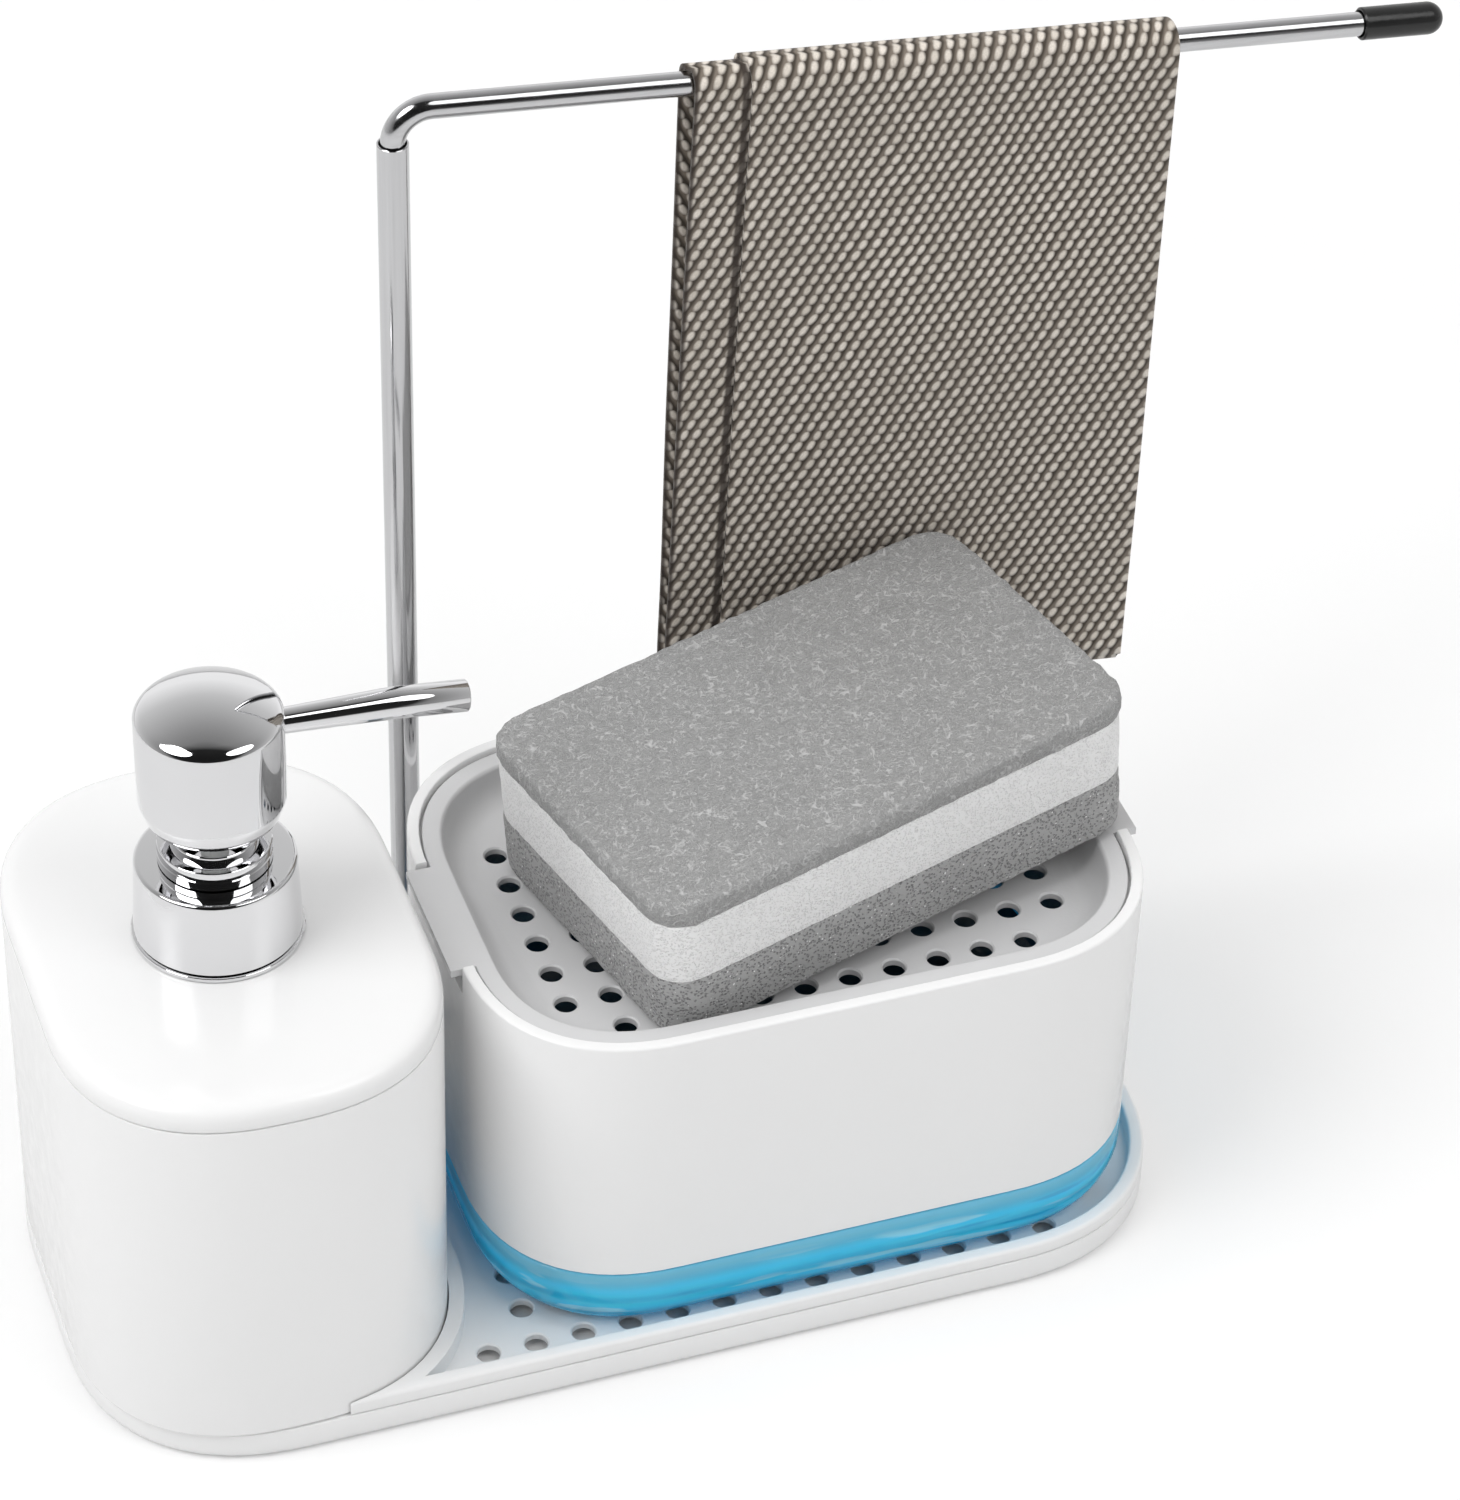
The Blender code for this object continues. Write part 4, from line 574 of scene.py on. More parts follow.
def pan_piece():
    wall, floor, heel, fillet, lip = 0.0022, 0.0024, 0.0024, 0.0016, 0.0004
    section = [(heel * 2, 0.0)] + rounded((heel, 0.0), (0.0, 0.0), (0.0, heel))
    section += rounded((0.0, PAN_TOP - lip), (0.0, PAN_TOP), (lip, PAN_TOP), 3) + [(wall, PAN_TOP)]
    section += rounded((wall, floor + fillet), (wall, floor), (wall + fillet, floor))
    bore, screw, screw_head, screw_sink = 0.00335, 0.0018, 0.0027, 0.0012
    pad_x, pad_y, pad_radius, pad_depth = 0.085, 0.031, 0.0058, 0.0016
    pads = [(x * pad_x, y * pad_y) for x in (-1, 1) for y in (-1, 1)]
    boss = holes("boss", BOSS_RADIUS, floor / 2, BOSS_TOP, POST, 48)
    cuts = (
        holes("bore", bore, floor, BOSS_TOP + OVER, POST, 48),
        holes("screw", screw, -OVER, floor + OVER, POST),
        holes("sink", screw_head, -OVER, screw_sink, POST),
        holes("pockets", pad_radius, -OVER, pad_depth, pads, 32),
    )
    pan = carved(walled("pan", TRAY, section), [boss], cuts)
    put("tray_pan", pan, TRAY_WHITE, "tray", "base_pan")
    for name in ("foot_pad_front_left", "foot_pad_back_left", "foot_pad_front_right", "foot_pad_back_right"):
        dress(name, SOFT_WHITE)


def insert_piece():
    top, floor, rim, plate, edge, under = 0.0105, 0.0060, 0.0030, 0.0016, 0.0025, 0.0044
    base, seat, lip, nose = PAN_TOP + GAP, 0.0005, 0.0004, 0.0009
    section = [(edge + plate, under), (edge, under + plate / 2), (edge, base)]
    section += rounded((seat, base), (0.0, base), (0.0, base + lip), 3)
    section += rounded((0.0, top - nose), (0.0, top), (nose, top))
    low, high = -OVER, top + OVER
    corner, crown, proud = 0.0012, 0.0007, 0.00001
    pocket = rounded((rim + corner, floor), (rim, floor), (rim, floor + corner))
    pocket += rounded((rim, top - crown), (rim, top), (rim - crown, top + proud), 4) + [(rim - crown, high)]

    def bottle_tool(outset):
        """The bottle's outline with a slab that clears the tray's left end."""
        slab_left, slab_right, slab_half = -0.045, 0.0098, 0.06
        slab = block("slab", (slab_left, -slab_half, low), (slab_right, slab_half, high))
        tool = walled("bottle_tool", BOTTLE, [(-outset, low), (-outset, high)])
        return moved(carved(tool, [slab]), BOTTLE_AT)

    drain, flare = 0.0024, 0.0003
    cuts = (
        carved(walled("pocket", TRAY, pocket), cuts=[bottle_tool(GAP + rim)]),
        bottle_tool(GAP),
        holes("clear", BOSS_RADIUS + GAP, low, high, POST, 48),
        holes("drains", drain, low, top, insert_drains(), 28, floor, flare),
    )
    insert = carved(walled("insert", TRAY, section), cuts=cuts)
    put("tray_insert", insert, TRAY_WHITE, "tray", "drain_insert")


def insert_drains():
    """The drains' places: a grid that keeps clear of the rim, the bottle, the caddy and the post."""
    columns, rows = 15, 10
    first_x, first_y, pitch = -0.0353, -0.0448, 0.00995
    rim_clear, bottle_clear, caddy_clear, post_clear = 0.0075, -0.0075, 0.0088, 0.01005
    places = []
    for column in range(columns):
        for row in range(rows):
            x, y = first_x + pitch * column, first_y - 2 * first_y / (rows - 1) * row
            on_plate = inside(x, y, *TRAY, rim_clear)
            by_bottle = inside(x - BOTTLE_AT.x, y - BOTTLE_AT.y, *BOTTLE, bottle_clear)
            by_caddy = inside(x - CADDY_AT.x, y, *CADDY, caddy_clear)
            by_post = math.hypot(x - POST_AT.x, y - POST_AT.y) <= post_clear
            if on_plate and not (by_bottle or by_caddy or by_post):
                places.append((x, y))
    return places


# Post and rod


def post_pieces():
    foot, top, bore, outside, chamfer = 0.0027, 0.2339, 0.0027, 0.00305, 0.0001
    profile = [(bore, top), (outside - chamfer, top), (outside, top - chamfer), (outside, foot), (bore, foot)]
    pipe = turned("pipe", profile, ring=True)
    put("post_pipe", pipe, TUBE_STEEL, "tray", "post_tube", Matrix.Translation(POST_AT))
    dress("post_plug", NATURAL)
    dress("post_screw", TUBE_STEEL)

    rod_foot = 0.0150
    along = Vector((math.cos(DROOP), 0.0, -math.sin(DROOP)))
    tangent = ROD_BEND * math.tan((math.pi / 2 + DROOP) / 2)
    start, end = Vector((0.0, 0.0, -tangent)), along * tangent
    points = [Vector((0.0, 0.0, rod_foot - ROD_HEIGHT))]
    points += arc(start + Vector((ROD_BEND, 0.0, 0.0)), start, end, 18)
    points += [along * ROD_LENGTH]
    where = Matrix.Translation(POST_AT + Vector((0.0, 0.0, ROD_HEIGHT))) @ Matrix.Rotation(ROD_YAW, 4, "Z")
    rod = tube("rod", points, [ROD_RADIUS] * len(points), 40)
    put("swing_rod", rod, ROD_STEEL, "rod", "towel_rod", where, 60.0)

    radius, length, past, mouth, chamfer, steps = 0.00325, 0.0177, 0.0050, 0.0027, 0.0003, 10
    tip, seat = ROD_LENGTH + past, ROD_LENGTH + GAP
    profile = [(0.0, tip)]
    for k in range(1, steps + 1):
        angle = math.pi / 2 * k / steps
        profile.append((radius * math.sin(angle), tip - radius + radius * math.cos(angle)))
    start = tip - length
    profile += [(radius, start + chamfer), (radius - chamfer, start)]
    profile += [(mouth, start), (mouth, seat), (0.0, seat)]
    tilt = where @ Matrix.Rotation(math.pi / 2 + DROOP, 4, "Y")
    put("swing_rod_cap", turned("cap", profile), BLACK, "rod", "rod_end_cap", tilt)
    return where


# Towel


def towel_point(along, run, layer):
    """A point of the cloth's middle: along the rod, run down its back (below 0) or front, in layer 0 or 1."""
    hang_at, lean_drop, back_space, hem_drop = 0.0102, 0.1370, 0.0006, 0.0015
    front_sway, back_sway, low_sway, high_sway = 0.0024, 0.0014, 0.0042, 0.0010
    wave_height, ripple_height, sway_height = 0.0006, 0.0005, 0.0006
    ripple_along, ripple_down, sway_down, calm_top, calm_run = 22.0, 14.0, 16.0, 0.004, 0.03
    inner = ROD_RADIUS + GAP
    radius = inner + CLOTH * (layer + 0.5)
    over = math.pi * radius / 2
    share = (along - TOWEL_START) / TOWEL_WIDTH
    front = run > 0
    if abs(run) <= over:
        angle = run / radius
        y, z = -radius * math.sin(angle), radius * math.cos(angle)
        lean = 0.0
    else:
        down = abs(run) - over
        side = 1 if front else -1
        lean = min(down / lean_drop, 1.0)
        space = 0.0 if front else back_space
        target = hang_at - inner + space - (radius - inner) * side
        y, z = -side * radius * (1 - lean) + target * lean, -down
    wave = wave_height * (1 - math.cos(4 * math.pi * share)) / 2
    spot = Vector((along * ripple_along, run * ripple_down, 3.1 if front else 8.1))
    ripple = noise.noise(spot) * ripple_height
    edge = min(abs(y) / calm_top, 1.0)
    y += wave * lean + ripple * edge * min(abs(run) / calm_run, 1.0)
    sway = noise.noise(Vector((run * sway_down, 9.3, 1.7))) * sway_height * lean
    sway += (1 - share) * (front_sway if front else back_sway) + share * (low_sway * lean - high_sway)
    z -= hem_drop * share * lean**2
    return Vector((along * math.cos(DROOP) + sway, y, z - along * math.sin(DROOP)))


def towel_pieces(where):
    """One cloth, folded double along its right edge, so that its outer half stops short of the left edge."""
    outer_steps, fold_steps, inner_steps, run_steps = 46, 6, 52, 96
    hem, fold_out, over_rod, first_row = 0.0006, 0.00055, 0.0055, 200.0
    fine_step, fine_count = 0.0009, 11
    outer = TOWEL_START + TOWEL_STRIP + hem
    end = TOWEL_START + TOWEL_WIDTH - CLOTH / 2
    across = [(outer + (end - outer) * k / outer_steps, 1.0) for k in range(outer_steps + 1)]
    for k in range(1, fold_steps):
        angle = math.pi * k / fold_steps
        across.append((end + fold_out * math.sin(angle), 0.5 + 0.5 * math.cos(angle)))
    inner = TOWEL_START + hem / 2
    across += [(end - (end - inner) * k / inner_steps, 0.0) for k in range(inner_steps + 1)]
    front, back = FRONT_DROP + over_rod, BACK_DROP + over_rod
    runs = {-back + (front + back) * k / run_steps for k in range(run_steps + 1)}
    runs = sorted(runs | {fine_step * (k - fine_count // 2) for k in range(fine_count)})
    shape = bmesh.new()
    weave = shape.loops.layers.uv.new("weave")
    rows = [[shape.verts.new(towel_point(along, run, layer)) for along, layer in across] for run in runs]
    for r in range(len(runs) - 1):
        for c in range(len(across) - 1):
            corners = ((r, c), (r, c + 1), (r + 1, c + 1), (r + 1, c))
            face = shape.faces.new([rows[i][j] for i, j in corners])
            for loop, (i, j) in zip(face.loops, corners):
                loop[weave].uv = (across[j][0] / LOOP_PITCH, -runs[i] / ROW_PITCH + first_row)
    cloth = mesh_of(shape, "cloth")
    towel = put("folded_towel", cloth, WEAVE, "towel", "hand_towel", where, 60.0)
    solid = towel.modifiers.new("thickness", "SOLIDIFY")
    solid.thickness = CLOTH * 0.85
    solid.offset = 0.0


# Bottle and pump


def bottle_pieces(where):
    foot, seat, wall, inset = 0.0027, 0.0072, 0.0022, 0.0050
    top, floor, heel, lip = 0.08915, 0.0049, 0.0009, 0.0003
    section = [(inset, foot), (inset, seat)] + rounded((heel, seat), (0.0, seat), (0.0, seat + heel))
    section += rounded((0.0, top - lip), (0.0, top), (lip, top), 3) + [(wall, top), (wall, seat + wall * 2)]
    section += rounded((inset + wall / 2, seat), (inset + wall, floor), (inset * 2, floor))
    bottle = walled("bottle", BOTTLE, section)
    put("bottle_shell", bottle, WHITE, "bottle", "bottle_body", where)

    foot, lid_top, under = 0.08945, 0.0946, 0.0924
    skirt_out, skirt_in, skirt = 0.0025, 0.0039, 0.0045
    crown, round_in, round_down, mouth = 0.0084, 0.0042, 0.0038, 0.0128
    section = [(crown, lid_top)]
    section += rounded((round_in, lid_top), (0.0, lid_top), (0.0, lid_top - round_down), 9)
    section += rounded((0.0, foot + lip), (0.0, foot), (lip, foot), 3)
    section += [(skirt_out, foot), (skirt_out, foot - skirt), (skirt_in, foot - skirt), (skirt_in, foot)]
    section += [(skirt_in + round_in, under)]
    opening = holes("mouth", mouth, foot, lid_top + OVER, [(0.0, 0.0)], TURN_STEPS)
    lid = carved(walled("lid", BOTTLE, section), cuts=[opening])
    put("bottle_top", lid, WHITE, "bottle", "bottle_lid", where)
    for node in ("bottle_neck", "pump_housing", "dip_tube", "pump_piston", "pump_stem"):
        dress(node, NATURAL)
    for node in ("neck_gasket", "piston_seal"):
        dress(node, SOFT_WHITE)
    dress("inlet_ball", ROD_STEEL)


def return_spring(where):
    """Round wire between the housing's floor and the piston, at its rest length, with a mesh of its own; the
    real spring shortens with the stroke.
    """
    seat, under, coil, wire, turns = 0.0560 + GAP, 0.0790 - GAP, 0.0049, 0.00045, 7
    steps = 24 * turns
    rise = under - seat - 2 * wire
    points = []
    for k in range(steps + 1):
        angle = 2 * math.pi * turns * k / steps
        points.append((coil * math.cos(angle), coil * math.sin(angle), seat + wire + rise * k / steps))
    mesh = tube("spring", points, [wire] * len(points), 10)
    spring = put("return_spring", mesh, ROD_STEEL, "pump", "pump_spring", where, 50.0)
    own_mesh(spring)


def pump_collars(where):
    """The chromed rings under the head, each turned from its own (radius, height) points."""
    ring_low, ring_high, ring_out, ring_in, nick = 0.0949, 0.0957, 0.0168, 0.0128, 0.0003
    profile = rounded((ring_out - nick, ring_high), (ring_out, ring_high), (ring_out, ring_high - nick), 3)
    profile += [(ring_out, ring_low), (ring_in, ring_low), (ring_in, ring_high)]
    ring = turned("neck_ring", profile, ring=True)
    put("neck_ring", ring, CHROME, "bottle", "pump_base_ring", where)

    top, foot, hole, bore, out, nose = 0.1127, 0.0960, 0.0083, 0.0131, 0.0157, 0.0009
    flare, plate = 0.0007, 0.0021
    profile = [(hole, top)] + rounded((out - nose, top), (out, top), (out, top - nose))
    profile += [(out + flare, foot + nick), (out + flare - nick, foot), (bore, foot)]
    profile += [(bore, top - plate), (hole, top - plate)]
    collar = turned("screw_collar", profile, ring=True)
    put("screw_collar", collar, CHROME, "pump", "pump_collar", where)

    top, shelf, foot, low = 0.1190, 0.1172, 0.1130, 0.1104
    stem_bore, cap, wide, throat = 0.0036, 0.0086, 0.0111, 0.0080
    cap_nose, wide_nose, groove_top, groove_foot, depth = 0.0005, 0.0004, 0.1152, 0.1147, 0.0002
    profile = [(stem_bore, top)] + rounded((cap - cap_nose, top), (cap, top), (cap, top - cap_nose), 3)
    profile += [(cap, shelf)]
    profile += rounded((wide - wide_nose, shelf), (wide, shelf), (wide, shelf - wide_nose), 3)
    profile += [(wide, groove_top), (wide - depth, groove_top - depth)]
    profile += [(wide - depth, groove_foot + depth), (wide, groove_foot)]
    profile += [(wide, foot), (throat, foot), (throat, low), (stem_bore, low)]
    sleeve = turned("guide_sleeve", profile, ring=True)
    put("guide_sleeve", sleeve, CHROME, "pump", "lock_sleeve", where)


def head_pieces(where):
    foot, height, dome, dome_radius, out = 0.1244, 0.0274, 0.0034, 0.0128, 0.0142
    crown = height - dome
    shoulder, bevel, bevel_at, bevel_in = 0.0009, 0.0007, 0.0033, 0.0003
    foot_out, foot_nose, foot_lean = 0.0131, 0.0004, 0.0001
    skirt, socket, socket_low, socket_out = 0.0122, 0.0116, 0.0063, 0.0054
    stem, stem_top, duct, outlet = 0.0035, 0.0149, 0.0017, 0.0178
    profile = [(0.0, height)]
    for k in range(1, 12):
        share = k / 12
        profile.append((dome_radius * share, crown + dome * (1 - share**2)))
    profile += rounded((dome_radius, crown), (out, crown - shoulder), (out, crown - 2 * shoulder), 8)
    profile += rounded((out, bevel_at + bevel), (out, bevel_at), (out - bevel_in, bevel_at - bevel), 4)
    profile += rounded((foot_out + foot_lean, foot_nose), (foot_out, 0.0), (foot_out - foot_nose, 0.0), 3)
    profile += [(skirt, 0.0), (skirt, socket), (socket_out, socket), (socket_out, socket_low)]
    profile += [(stem, socket_low), (stem, stem_top), (duct, stem_top), (duct, outlet), (0.0, outlet)]
    profile = [(radius, foot + rise) for radius, rise in profile]
    put("press_head", turned("press_head", profile), CHROME, "head", "pump_head", where)

    height = foot + outlet
    start, bend, cone, dip, thin, thick, nose = 0.0070, 0.0142, 0.0215, 0.0009, 0.00255, 0.00315, 0.0002
    points = [(start, 0.0, height), (bend, 0.0, height)]
    radii = [thin, thin]
    for k in range(1, 9):
        share = k / 9
        points.append((bend + cone * share, 0.0, height - dip * share))
        radii.append(thin + (thick - thin) * share)
    drops = ((0.0360, 0.00095), (0.0367, 0.0010), (0.0374, 0.00107), (0.0502, 0.0025))
    points += [(x, 0.0, height - drop) for x, drop in drops]
    radii += [thick] * len(drops)
    pipe = tube("outlet", points, radii, 40, duct, nose)
    put("outlet_pipe", pipe, CHROME, "head", "pump_spout", where, 50.0)


# Caddy


def basin_piece(where):
    bottom, wall, floor, heel, lip, sweep = 0.0072, 0.0022, 0.0092, 0.0044, 0.0005, 0.0020
    heel_top, low, lip_out, lip_rise = 0.0152, 0.0082, 0.0027, 0.0070
    lip_in, lip_top = lip_out + wall, SEAM + GAP + lip_rise
    section = [(heel * 2, bottom)] + rounded((heel, bottom), (heel / 4, bottom + sweep), (0.0, heel_top), 9)
    section += rounded((0.0, SEAM - lip), (0.0, SEAM), (lip, SEAM), 3)
    section += [(lip_out, SEAM), (lip_out, lip_top), (lip_in, lip_top), (lip_in, SEAM)]
    section += [(wall, SEAM - wall * 2), (wall, heel_top)]
    section += rounded((wall * 1.5, floor + sweep), (heel, floor), (heel * 2, floor))
    foot_x, foot_y, foot_radius, foot_low = 0.046, 0.026, 0.0030, 0.0063
    feet = [(x * foot_x, y * foot_y) for x in (-1, 1) for y in (-1, 1)]
    bosses = [(-0.0115, -0.0350), (0.0370, -0.0350), (-0.0500, -0.0230)]
    boss_radius, boss_rise = 0.0048, 0.0110
    rib_half, rib_front, rib_back, rib_rise = 0.040, -0.0278, -0.0262, 0.0045
    joins = (
        holes("feet", foot_radius, foot_low, low, feet),
        holes("bosses", boss_radius, low, floor + boss_rise, bosses, 32),
        block("rib", (-rib_half, rib_front, low), (rib_half, rib_back, floor + rib_rise)),
    )
    basin = carved(walled("basin", CADDY, section), joins)
    put("clear_basin", basin, BLUE, "basin", "drip_basin", where)


def ears(name, reach, half, low, high):
    """Two blocks at the caddy's ends, from just inside its outline out to reach."""
    made = []
    for side in (-1, 1):
        near, far = sorted((side * (CADDY[0] - OVER), side * (CADDY[0] + reach)))
        made.append(block(name, (near, -half, low), (far, half, high)))
    return made


def shell_piece(where):
    wall, lip, inner_lip, step, drop, notch_depth = 0.0024, 0.0006, 0.0004, 0.0020, 0.0035, 0.0070
    ledge, foot = STRAINER_TOP - STRAINER_PLATE - GAP, SEAM + GAP
    section = rounded((0.0, CADDY_TOP - lip), (0.0, CADDY_TOP), (lip, CADDY_TOP))
    section += rounded((wall - inner_lip, CADDY_TOP), (wall, CADDY_TOP), (wall, CADDY_TOP - inner_lip), 3)
    section += [(wall, ledge), (wall + step, ledge), (wall + step, ledge - step / 2), (wall, ledge - drop)]
    section += [(wall, foot)] + rounded((inner_lip, foot), (0.0, foot), (0.0, foot + inner_lip), 3)
    notches = ears("notch", OVER, NOTCH_HALF, CADDY_TOP - notch_depth, CADDY_TOP + OVER)
    shell = carved(walled("shell", CADDY, section, loop=True), cuts=notches)
    put("outer_shell", shell, WHITE, "shell", "caddy_shell", where)


def strainer_piece(where):
    edge, lip, recess, floor_inset, wall_inset = 0.0029, 0.0004, 0.0066, 0.0118, 0.0050
    turn_in, turn_down, bend_in, bend_top, tab_reach = 0.0003, 0.0006, 0.0009, 0.0010, 0.0021
    top, floor, plate = STRAINER_TOP, STRAINER_FLOOR, STRAINER_PLATE
    under = top - plate
    section = rounded((floor_inset, floor - plate), (wall_inset, floor - plate / 2), (wall_inset, under))
    section += [(edge, under)] + rounded((edge, top - lip), (edge, top), (edge + lip, top), 3)
    section += rounded((recess - lip, top), (recess, top), (recess + turn_in, top - turn_down), 4)
    bend = (recess + bend_in, floor + plate / 2)
    section += rounded((recess + lip, top - bend_top), bend, (floor_inset, floor), 8)
    columns, rows, radius, flare = 12, 8, 0.0023, 0.00035
    places = []
    for column in range(columns):
        for row in range(rows):
            if column in (0, columns - 1) and row in (0, rows - 1):
                continue
            places.append(((column - (columns - 1) / 2) * DRAIN_PITCH, (row - (rows - 1) / 2) * DRAIN_PITCH))
    tabs = ears("tab", tab_reach, NOTCH_HALF - 2 * GAP, under, top)
    drains = holes("drains", radius, floor - plate - OVER, floor + OVER, places, 28, floor, flare)
    strainer = carved(walled("strainer", CADDY, section), tabs, [drains])
    put("sponge_strainer", strainer, STRAINER_GREY, "strainer", "strainer_tray", where)


# Sponge


def slab(name, foot, top, swell, grain, seed, edges):
    """One soft layer: a finely divided rounded block whose skin is roughened by noise."""
    cell, cap_rings = 0.0016, 22
    bump, fine, fine_share = 420.0, 2.3, 0.6
    ring = outline(*SPONGE, steps=8)
    dense = []
    for point, after in zip(ring, ring[1:] + ring[:1]):
        cuts = max(1, round(math.dist(point, after) / cell))
        way_x, way_y = after[0] - point[0], after[1] - point[1]
        dense += [(point[0] + way_x * k / cuts, point[1] + way_y * k / cuts) for k in range(cuts)]
    edge_low, edge_high = edges
    low, high = foot + edge_low, top - edge_high
    count = max(3, round((top - foot - edge_low - edge_high) / cell))
    levels = rounded((edge_low, foot), (0.0, foot), (0.0, low), 3)
    levels += [(0.0, low + (high - low) * k / count) for k in range(1, count)]
    levels += rounded((0.0, high), (0.0, top), (edge_high, top), 4)
    shape = bmesh.new()
    rows = []
    for inset, height in levels:
        bulge = swell * math.sin(math.pi * (height - foot) / (top - foot))
        row = []
        for x, y in dense:
            scale = 1 - (inset - bulge) / math.hypot(x, y)
            row.append(shape.verts.new((x * scale, y * scale, height)))
        rows.append(row)
    for below, above in zip(rows, rows[1:]):
        skin(shape, below, above)
    for row, height in ((rows[0], foot), (rows[-1], top)):
        last = row
        for step in range(1, cap_rings):
            share = 1 - step / cap_rings
            within = [shape.verts.new((vert.co.x * share, vert.co.y * share, height)) for vert in row]
            skin(shape, last, within)
            last = within
        centre = shape.verts.new((0.0, 0.0, height))
        for k, vert in enumerate(last):
            shape.faces.new((vert, last[(k + 1) % len(last)], centre))
    bmesh.ops.recalc_face_normals(shape, faces=shape.faces)
    shape.normal_update()
    shifts = []
    for vert in shape.verts:
        spot = vert.co * bump + Vector((seed, seed * 2.0, 0.0))
        shifts.append(vert.normal * grain * (noise.noise(spot) + fine_share * noise.noise(spot * fine)))
    for vert, shift in zip(shape.verts, shifts):
        vert.co += shift
    return mesh_of(shape, name)


def sponge_pieces():
    """The sponge leans from the strainer's floor, at its left end, up to the caddy's rim."""
    lift_left, lift_right = 0.0014, 0.0016
    rest_left, rest_right = STRAINER_FLOOR + lift_left, CADDY_TOP + lift_right
    tilt = -math.asin((rest_right - rest_left) / (2 * SPONGE[0]))
    height = (rest_left + rest_right) / 2 + SPONGE_HALF * math.cos(tilt)
    where = Matrix.Translation((*SPONGE_AT, height)) @ Euler((0.0, tilt, SPONGE_YAW)).to_matrix().to_4x4()
    foot = -SPONGE_HALF
    dark_top = DARK_LAYER - SPONGE_HALF - GAP / 2
    light_top = DARK_LAYER + LIGHT_LAYER - SPONGE_HALF - GAP / 2
    top = SPONGE_HALF
    tight, loose, round_edge = (0.0002, 0.0002), (0.0004, 0.0002), (0.0003, 0.0012)
    under = slab("foam_under", foot, dark_top, swell=0.0002, grain=0.00022, seed=3.0, edges=loose)
    middle = slab("foam_middle", dark_top, light_top, swell=0.0001, grain=0.00010, seed=17.0, edges=tight)
    scour = slab("scour_top", light_top, top, swell=0.0003, grain=0.00030, seed=29.0, edges=round_edge)
    layers = (
        (under, DARK_FOAM, "sponge_foam_dark", "dark_foam"),
        (middle, LIGHT_FOAM, "sponge_foam_light", "light_foam"),
        (scour, SCOUR, "scouring_pad", "scouring_fibre"),
    )
    for mesh, look, node, slot in layers:
        put(mesh.name, mesh, look, "sponge", node, where, 70.0)


# Floor, lights and camera


def studio_world():
    """Even white fill, white for the camera, and for reflections a room bright ahead and dark behind."""
    fill = 0.57
    bright_way = (-0.268, -0.723, 0.636)
    stops = ((0.0, 1.0), (0.2, 1.0), (0.40, 0.66), (0.60, 0.46), (0.80, 0.24), (0.86, 0.02), (1.0, 0.012))
    world = bpy.data.worlds.new("studio")
    bpy.context.scene.world = world
    world.use_nodes = True
    nodes = Nodes(world.node_tree)
    background = nodes.tree.nodes["Background"].inputs
    nodes.feed(background["Color"], (1.0, 1.0, 1.0, 1.0))
    facing = nodes.vectors("DOT_PRODUCT", nodes.node("ShaderNodeTexCoord")["Generated"], bright_way)["Value"]
    ramp = nodes.tree.nodes.new("ShaderNodeValToRGB")
    while len(ramp.color_ramp.elements) < len(stops):
        ramp.color_ramp.elements.new(0.5)
    for element, (position, value) in zip(ramp.color_ramp.elements, stops):
        element.position = position
        element.color = (value, value, value, 1.0)
    nodes.feed(ramp.inputs["Fac"], nodes.math("MULTIPLY_ADD", facing, 0.5, 0.5))
    path = nodes.node("ShaderNodeLightPath")
    clear = nodes.math("MAXIMUM", path["Is Camera Ray"], path["Is Transmission Ray"])
    glossy = path["Is Glossy Ray"]
    rest = nodes.math("SUBTRACT", 1.0, nodes.math("MAXIMUM", clear, glossy))
    total = nodes.math("ADD", clear, nodes.math("MULTIPLY", glossy, ramp.outputs["Color"]))
    total = nodes.math("ADD", total, nodes.math("MULTIPLY", rest, fill))
    nodes.feed(background["Strength"], total)


def floor_piece():
    """A pale floor that keeps the shadows and fades to white for the camera as it runs away from the set."""
    half, thick, below = 8.0, 0.02, 0.0002
    fade_from, fade_to, glow_near, glow_far = 0.4, 2.6, 0.17, 0.60
    floor = bpy.data.objects.new("floor", block("floor", (-half, -half, -thick), (half, half, -below)))
    bpy.context.scene.collection.objects.link(floor)
    look = Look("pale_floor", grey(0.80), 0.6)
    look.set("Specular IOR Level", 0.1)
    look.set("Emission Color", (1.0, 1.0, 1.0, 1.0))
    away = look.vectors("LENGTH", look.place)["Value"]
    far = look.range(away, fade_from, fade_to, glow_near, glow_far)
    seen = look.node("ShaderNodeLightPath")["Is Camera Ray"]
    look.set("Emission Strength", look.math("MULTIPLY", seen, far))
    floor.data.materials.append(look.material)


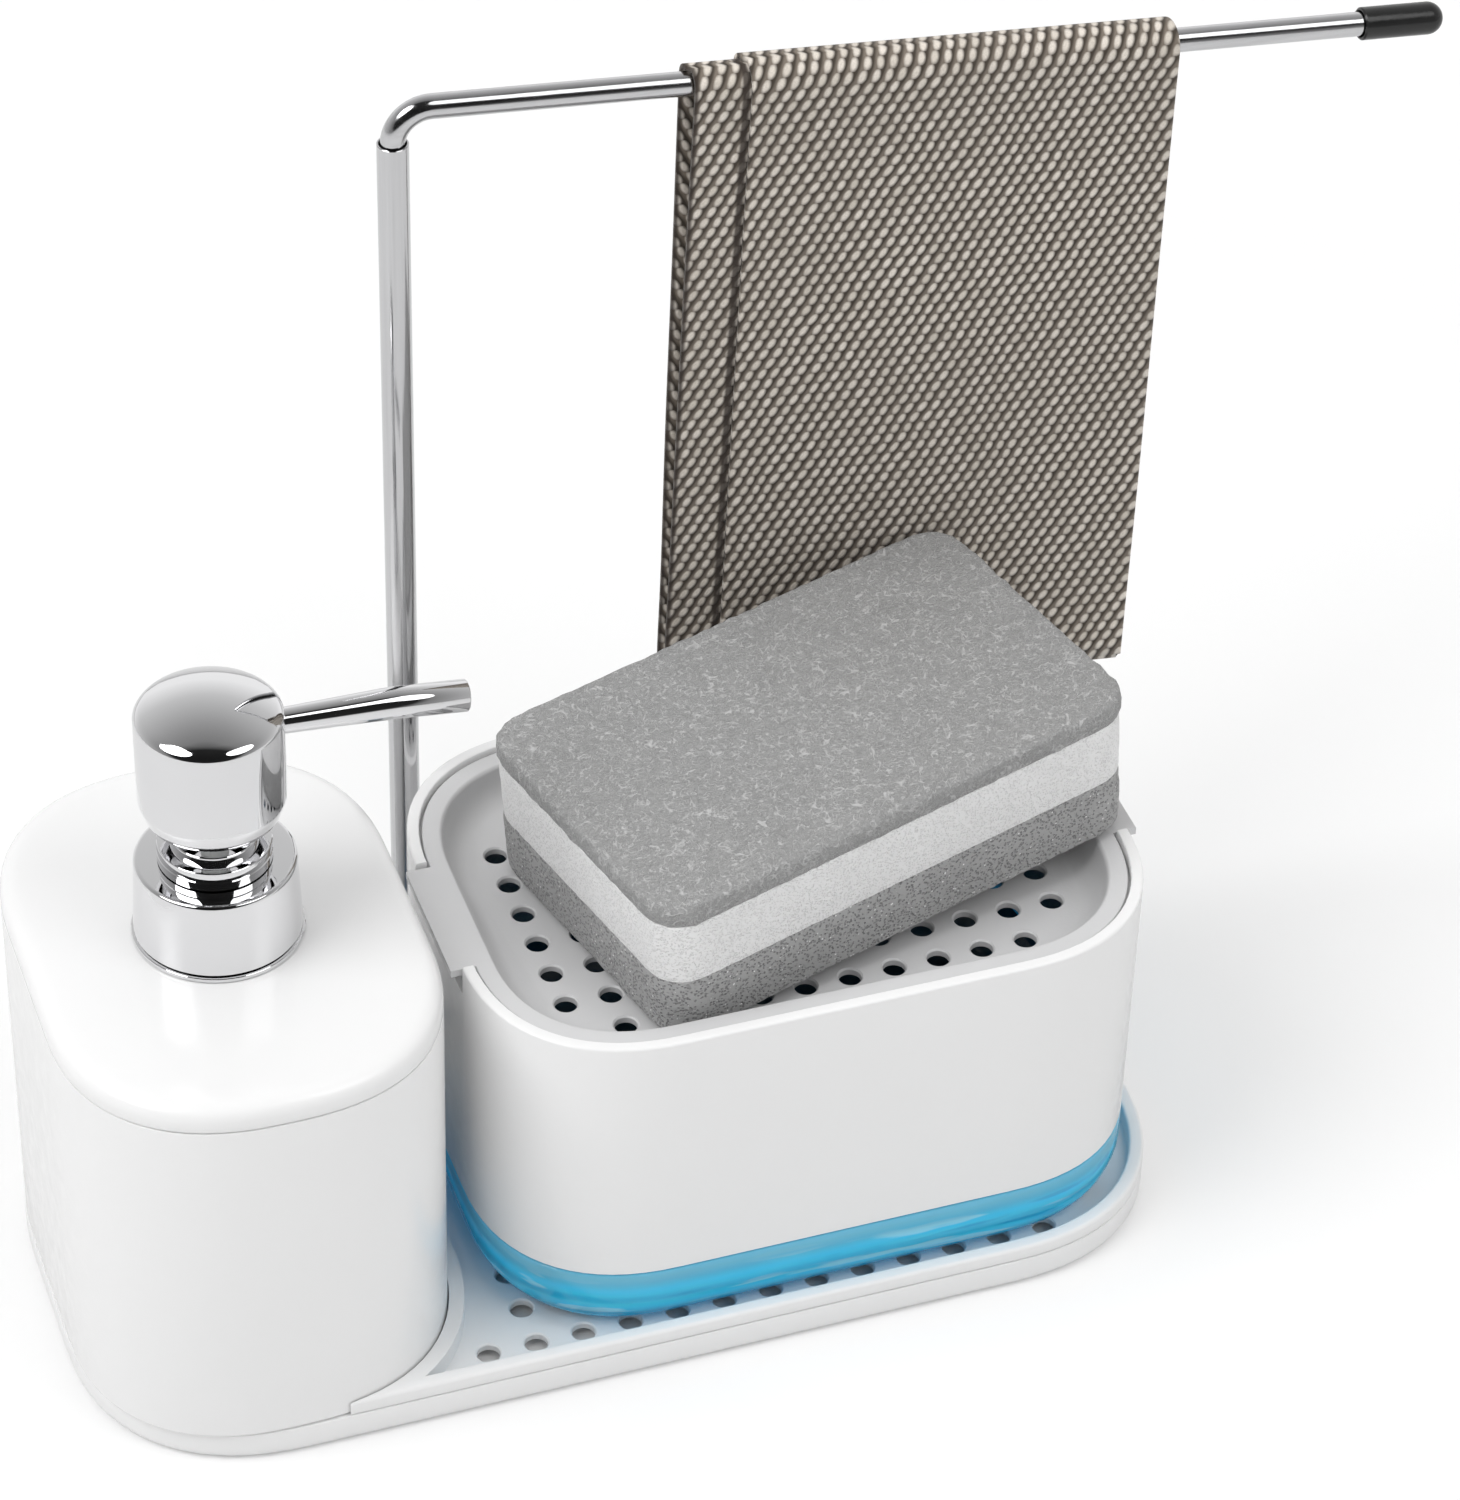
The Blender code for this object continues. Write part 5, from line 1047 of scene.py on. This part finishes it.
def area_light(name, way, size, power):
    """A round lamp in the direction way, aimed at the middle of the set."""
    aim, distance = Vector((0.0, 0.0, 0.08)), 3.0
    light = bpy.data.lights.new(name, "AREA")
    light.shape = "DISK"
    light.size = size
    light.energy = power
    obj = bpy.data.objects.new(name, light)
    bpy.context.scene.collection.objects.link(obj)
    obj.location = aim + Vector(way).normalized() * distance
    obj.rotation_euler = Vector(way).to_track_quat("Z", "Y").to_euler()
    return obj


def photo_camera():
    """The camera solved from the photograph: its focal length in pixels, its three turns and its place."""
    focal, image_height, sensor = 5185.1, 1500.0, 36.0
    turn, tilt, roll = (math.radians(angle) for angle in (-20.326, 39.520, 1.909))
    place = (-0.244586, -0.736961, 0.759619)
    camera = bpy.data.cameras.new("photo_camera")
    camera.sensor_width = sensor
    camera.lens = focal / image_height * sensor
    camera.clip_start, camera.clip_end = 0.05, 20.0
    obj = bpy.data.objects.new("photo_camera", camera)
    bpy.context.scene.collection.objects.link(obj)
    forward = Vector((-math.sin(turn) * math.cos(tilt), math.cos(turn) * math.cos(tilt), -math.sin(tilt)))
    level = Vector((math.cos(turn), math.sin(turn), 0.0))
    rise = level.cross(forward)
    right = level * math.cos(roll) + rise * math.sin(roll)
    up = -level * math.sin(roll) + rise * math.cos(roll)
    basis = Matrix((right, up, -forward)).transposed().to_4x4()
    obj.matrix_world = Matrix.Translation(place) @ basis
    bpy.context.scene.camera = obj


pan_piece()
insert_piece()
towel_pieces(post_pieces())
bottle_place = Matrix.Translation(BOTTLE_AT)
for make in (bottle_pieces, return_spring, pump_collars, head_pieces):
    make(bottle_place)
caddy_place = Matrix.Translation(CADDY_AT)
for make in (basin_piece, shell_piece, strainer_piece):
    make(caddy_place)
sponge_pieces()
floor_piece()
studio_world()
area_light("key", (-0.61, -0.09, 0.79), 1.9, 39.0)
area_light("fill", (0.41, -0.46, 0.79), 1.7, 15.0)
area_light("top", (0.05, 0.10, 1.0), 2.2, 12.0).visible_glossy = False
photo_camera()

bpy.context.scene.view_settings.view_transform = "Standard"
bpy.context.view_layer.update()
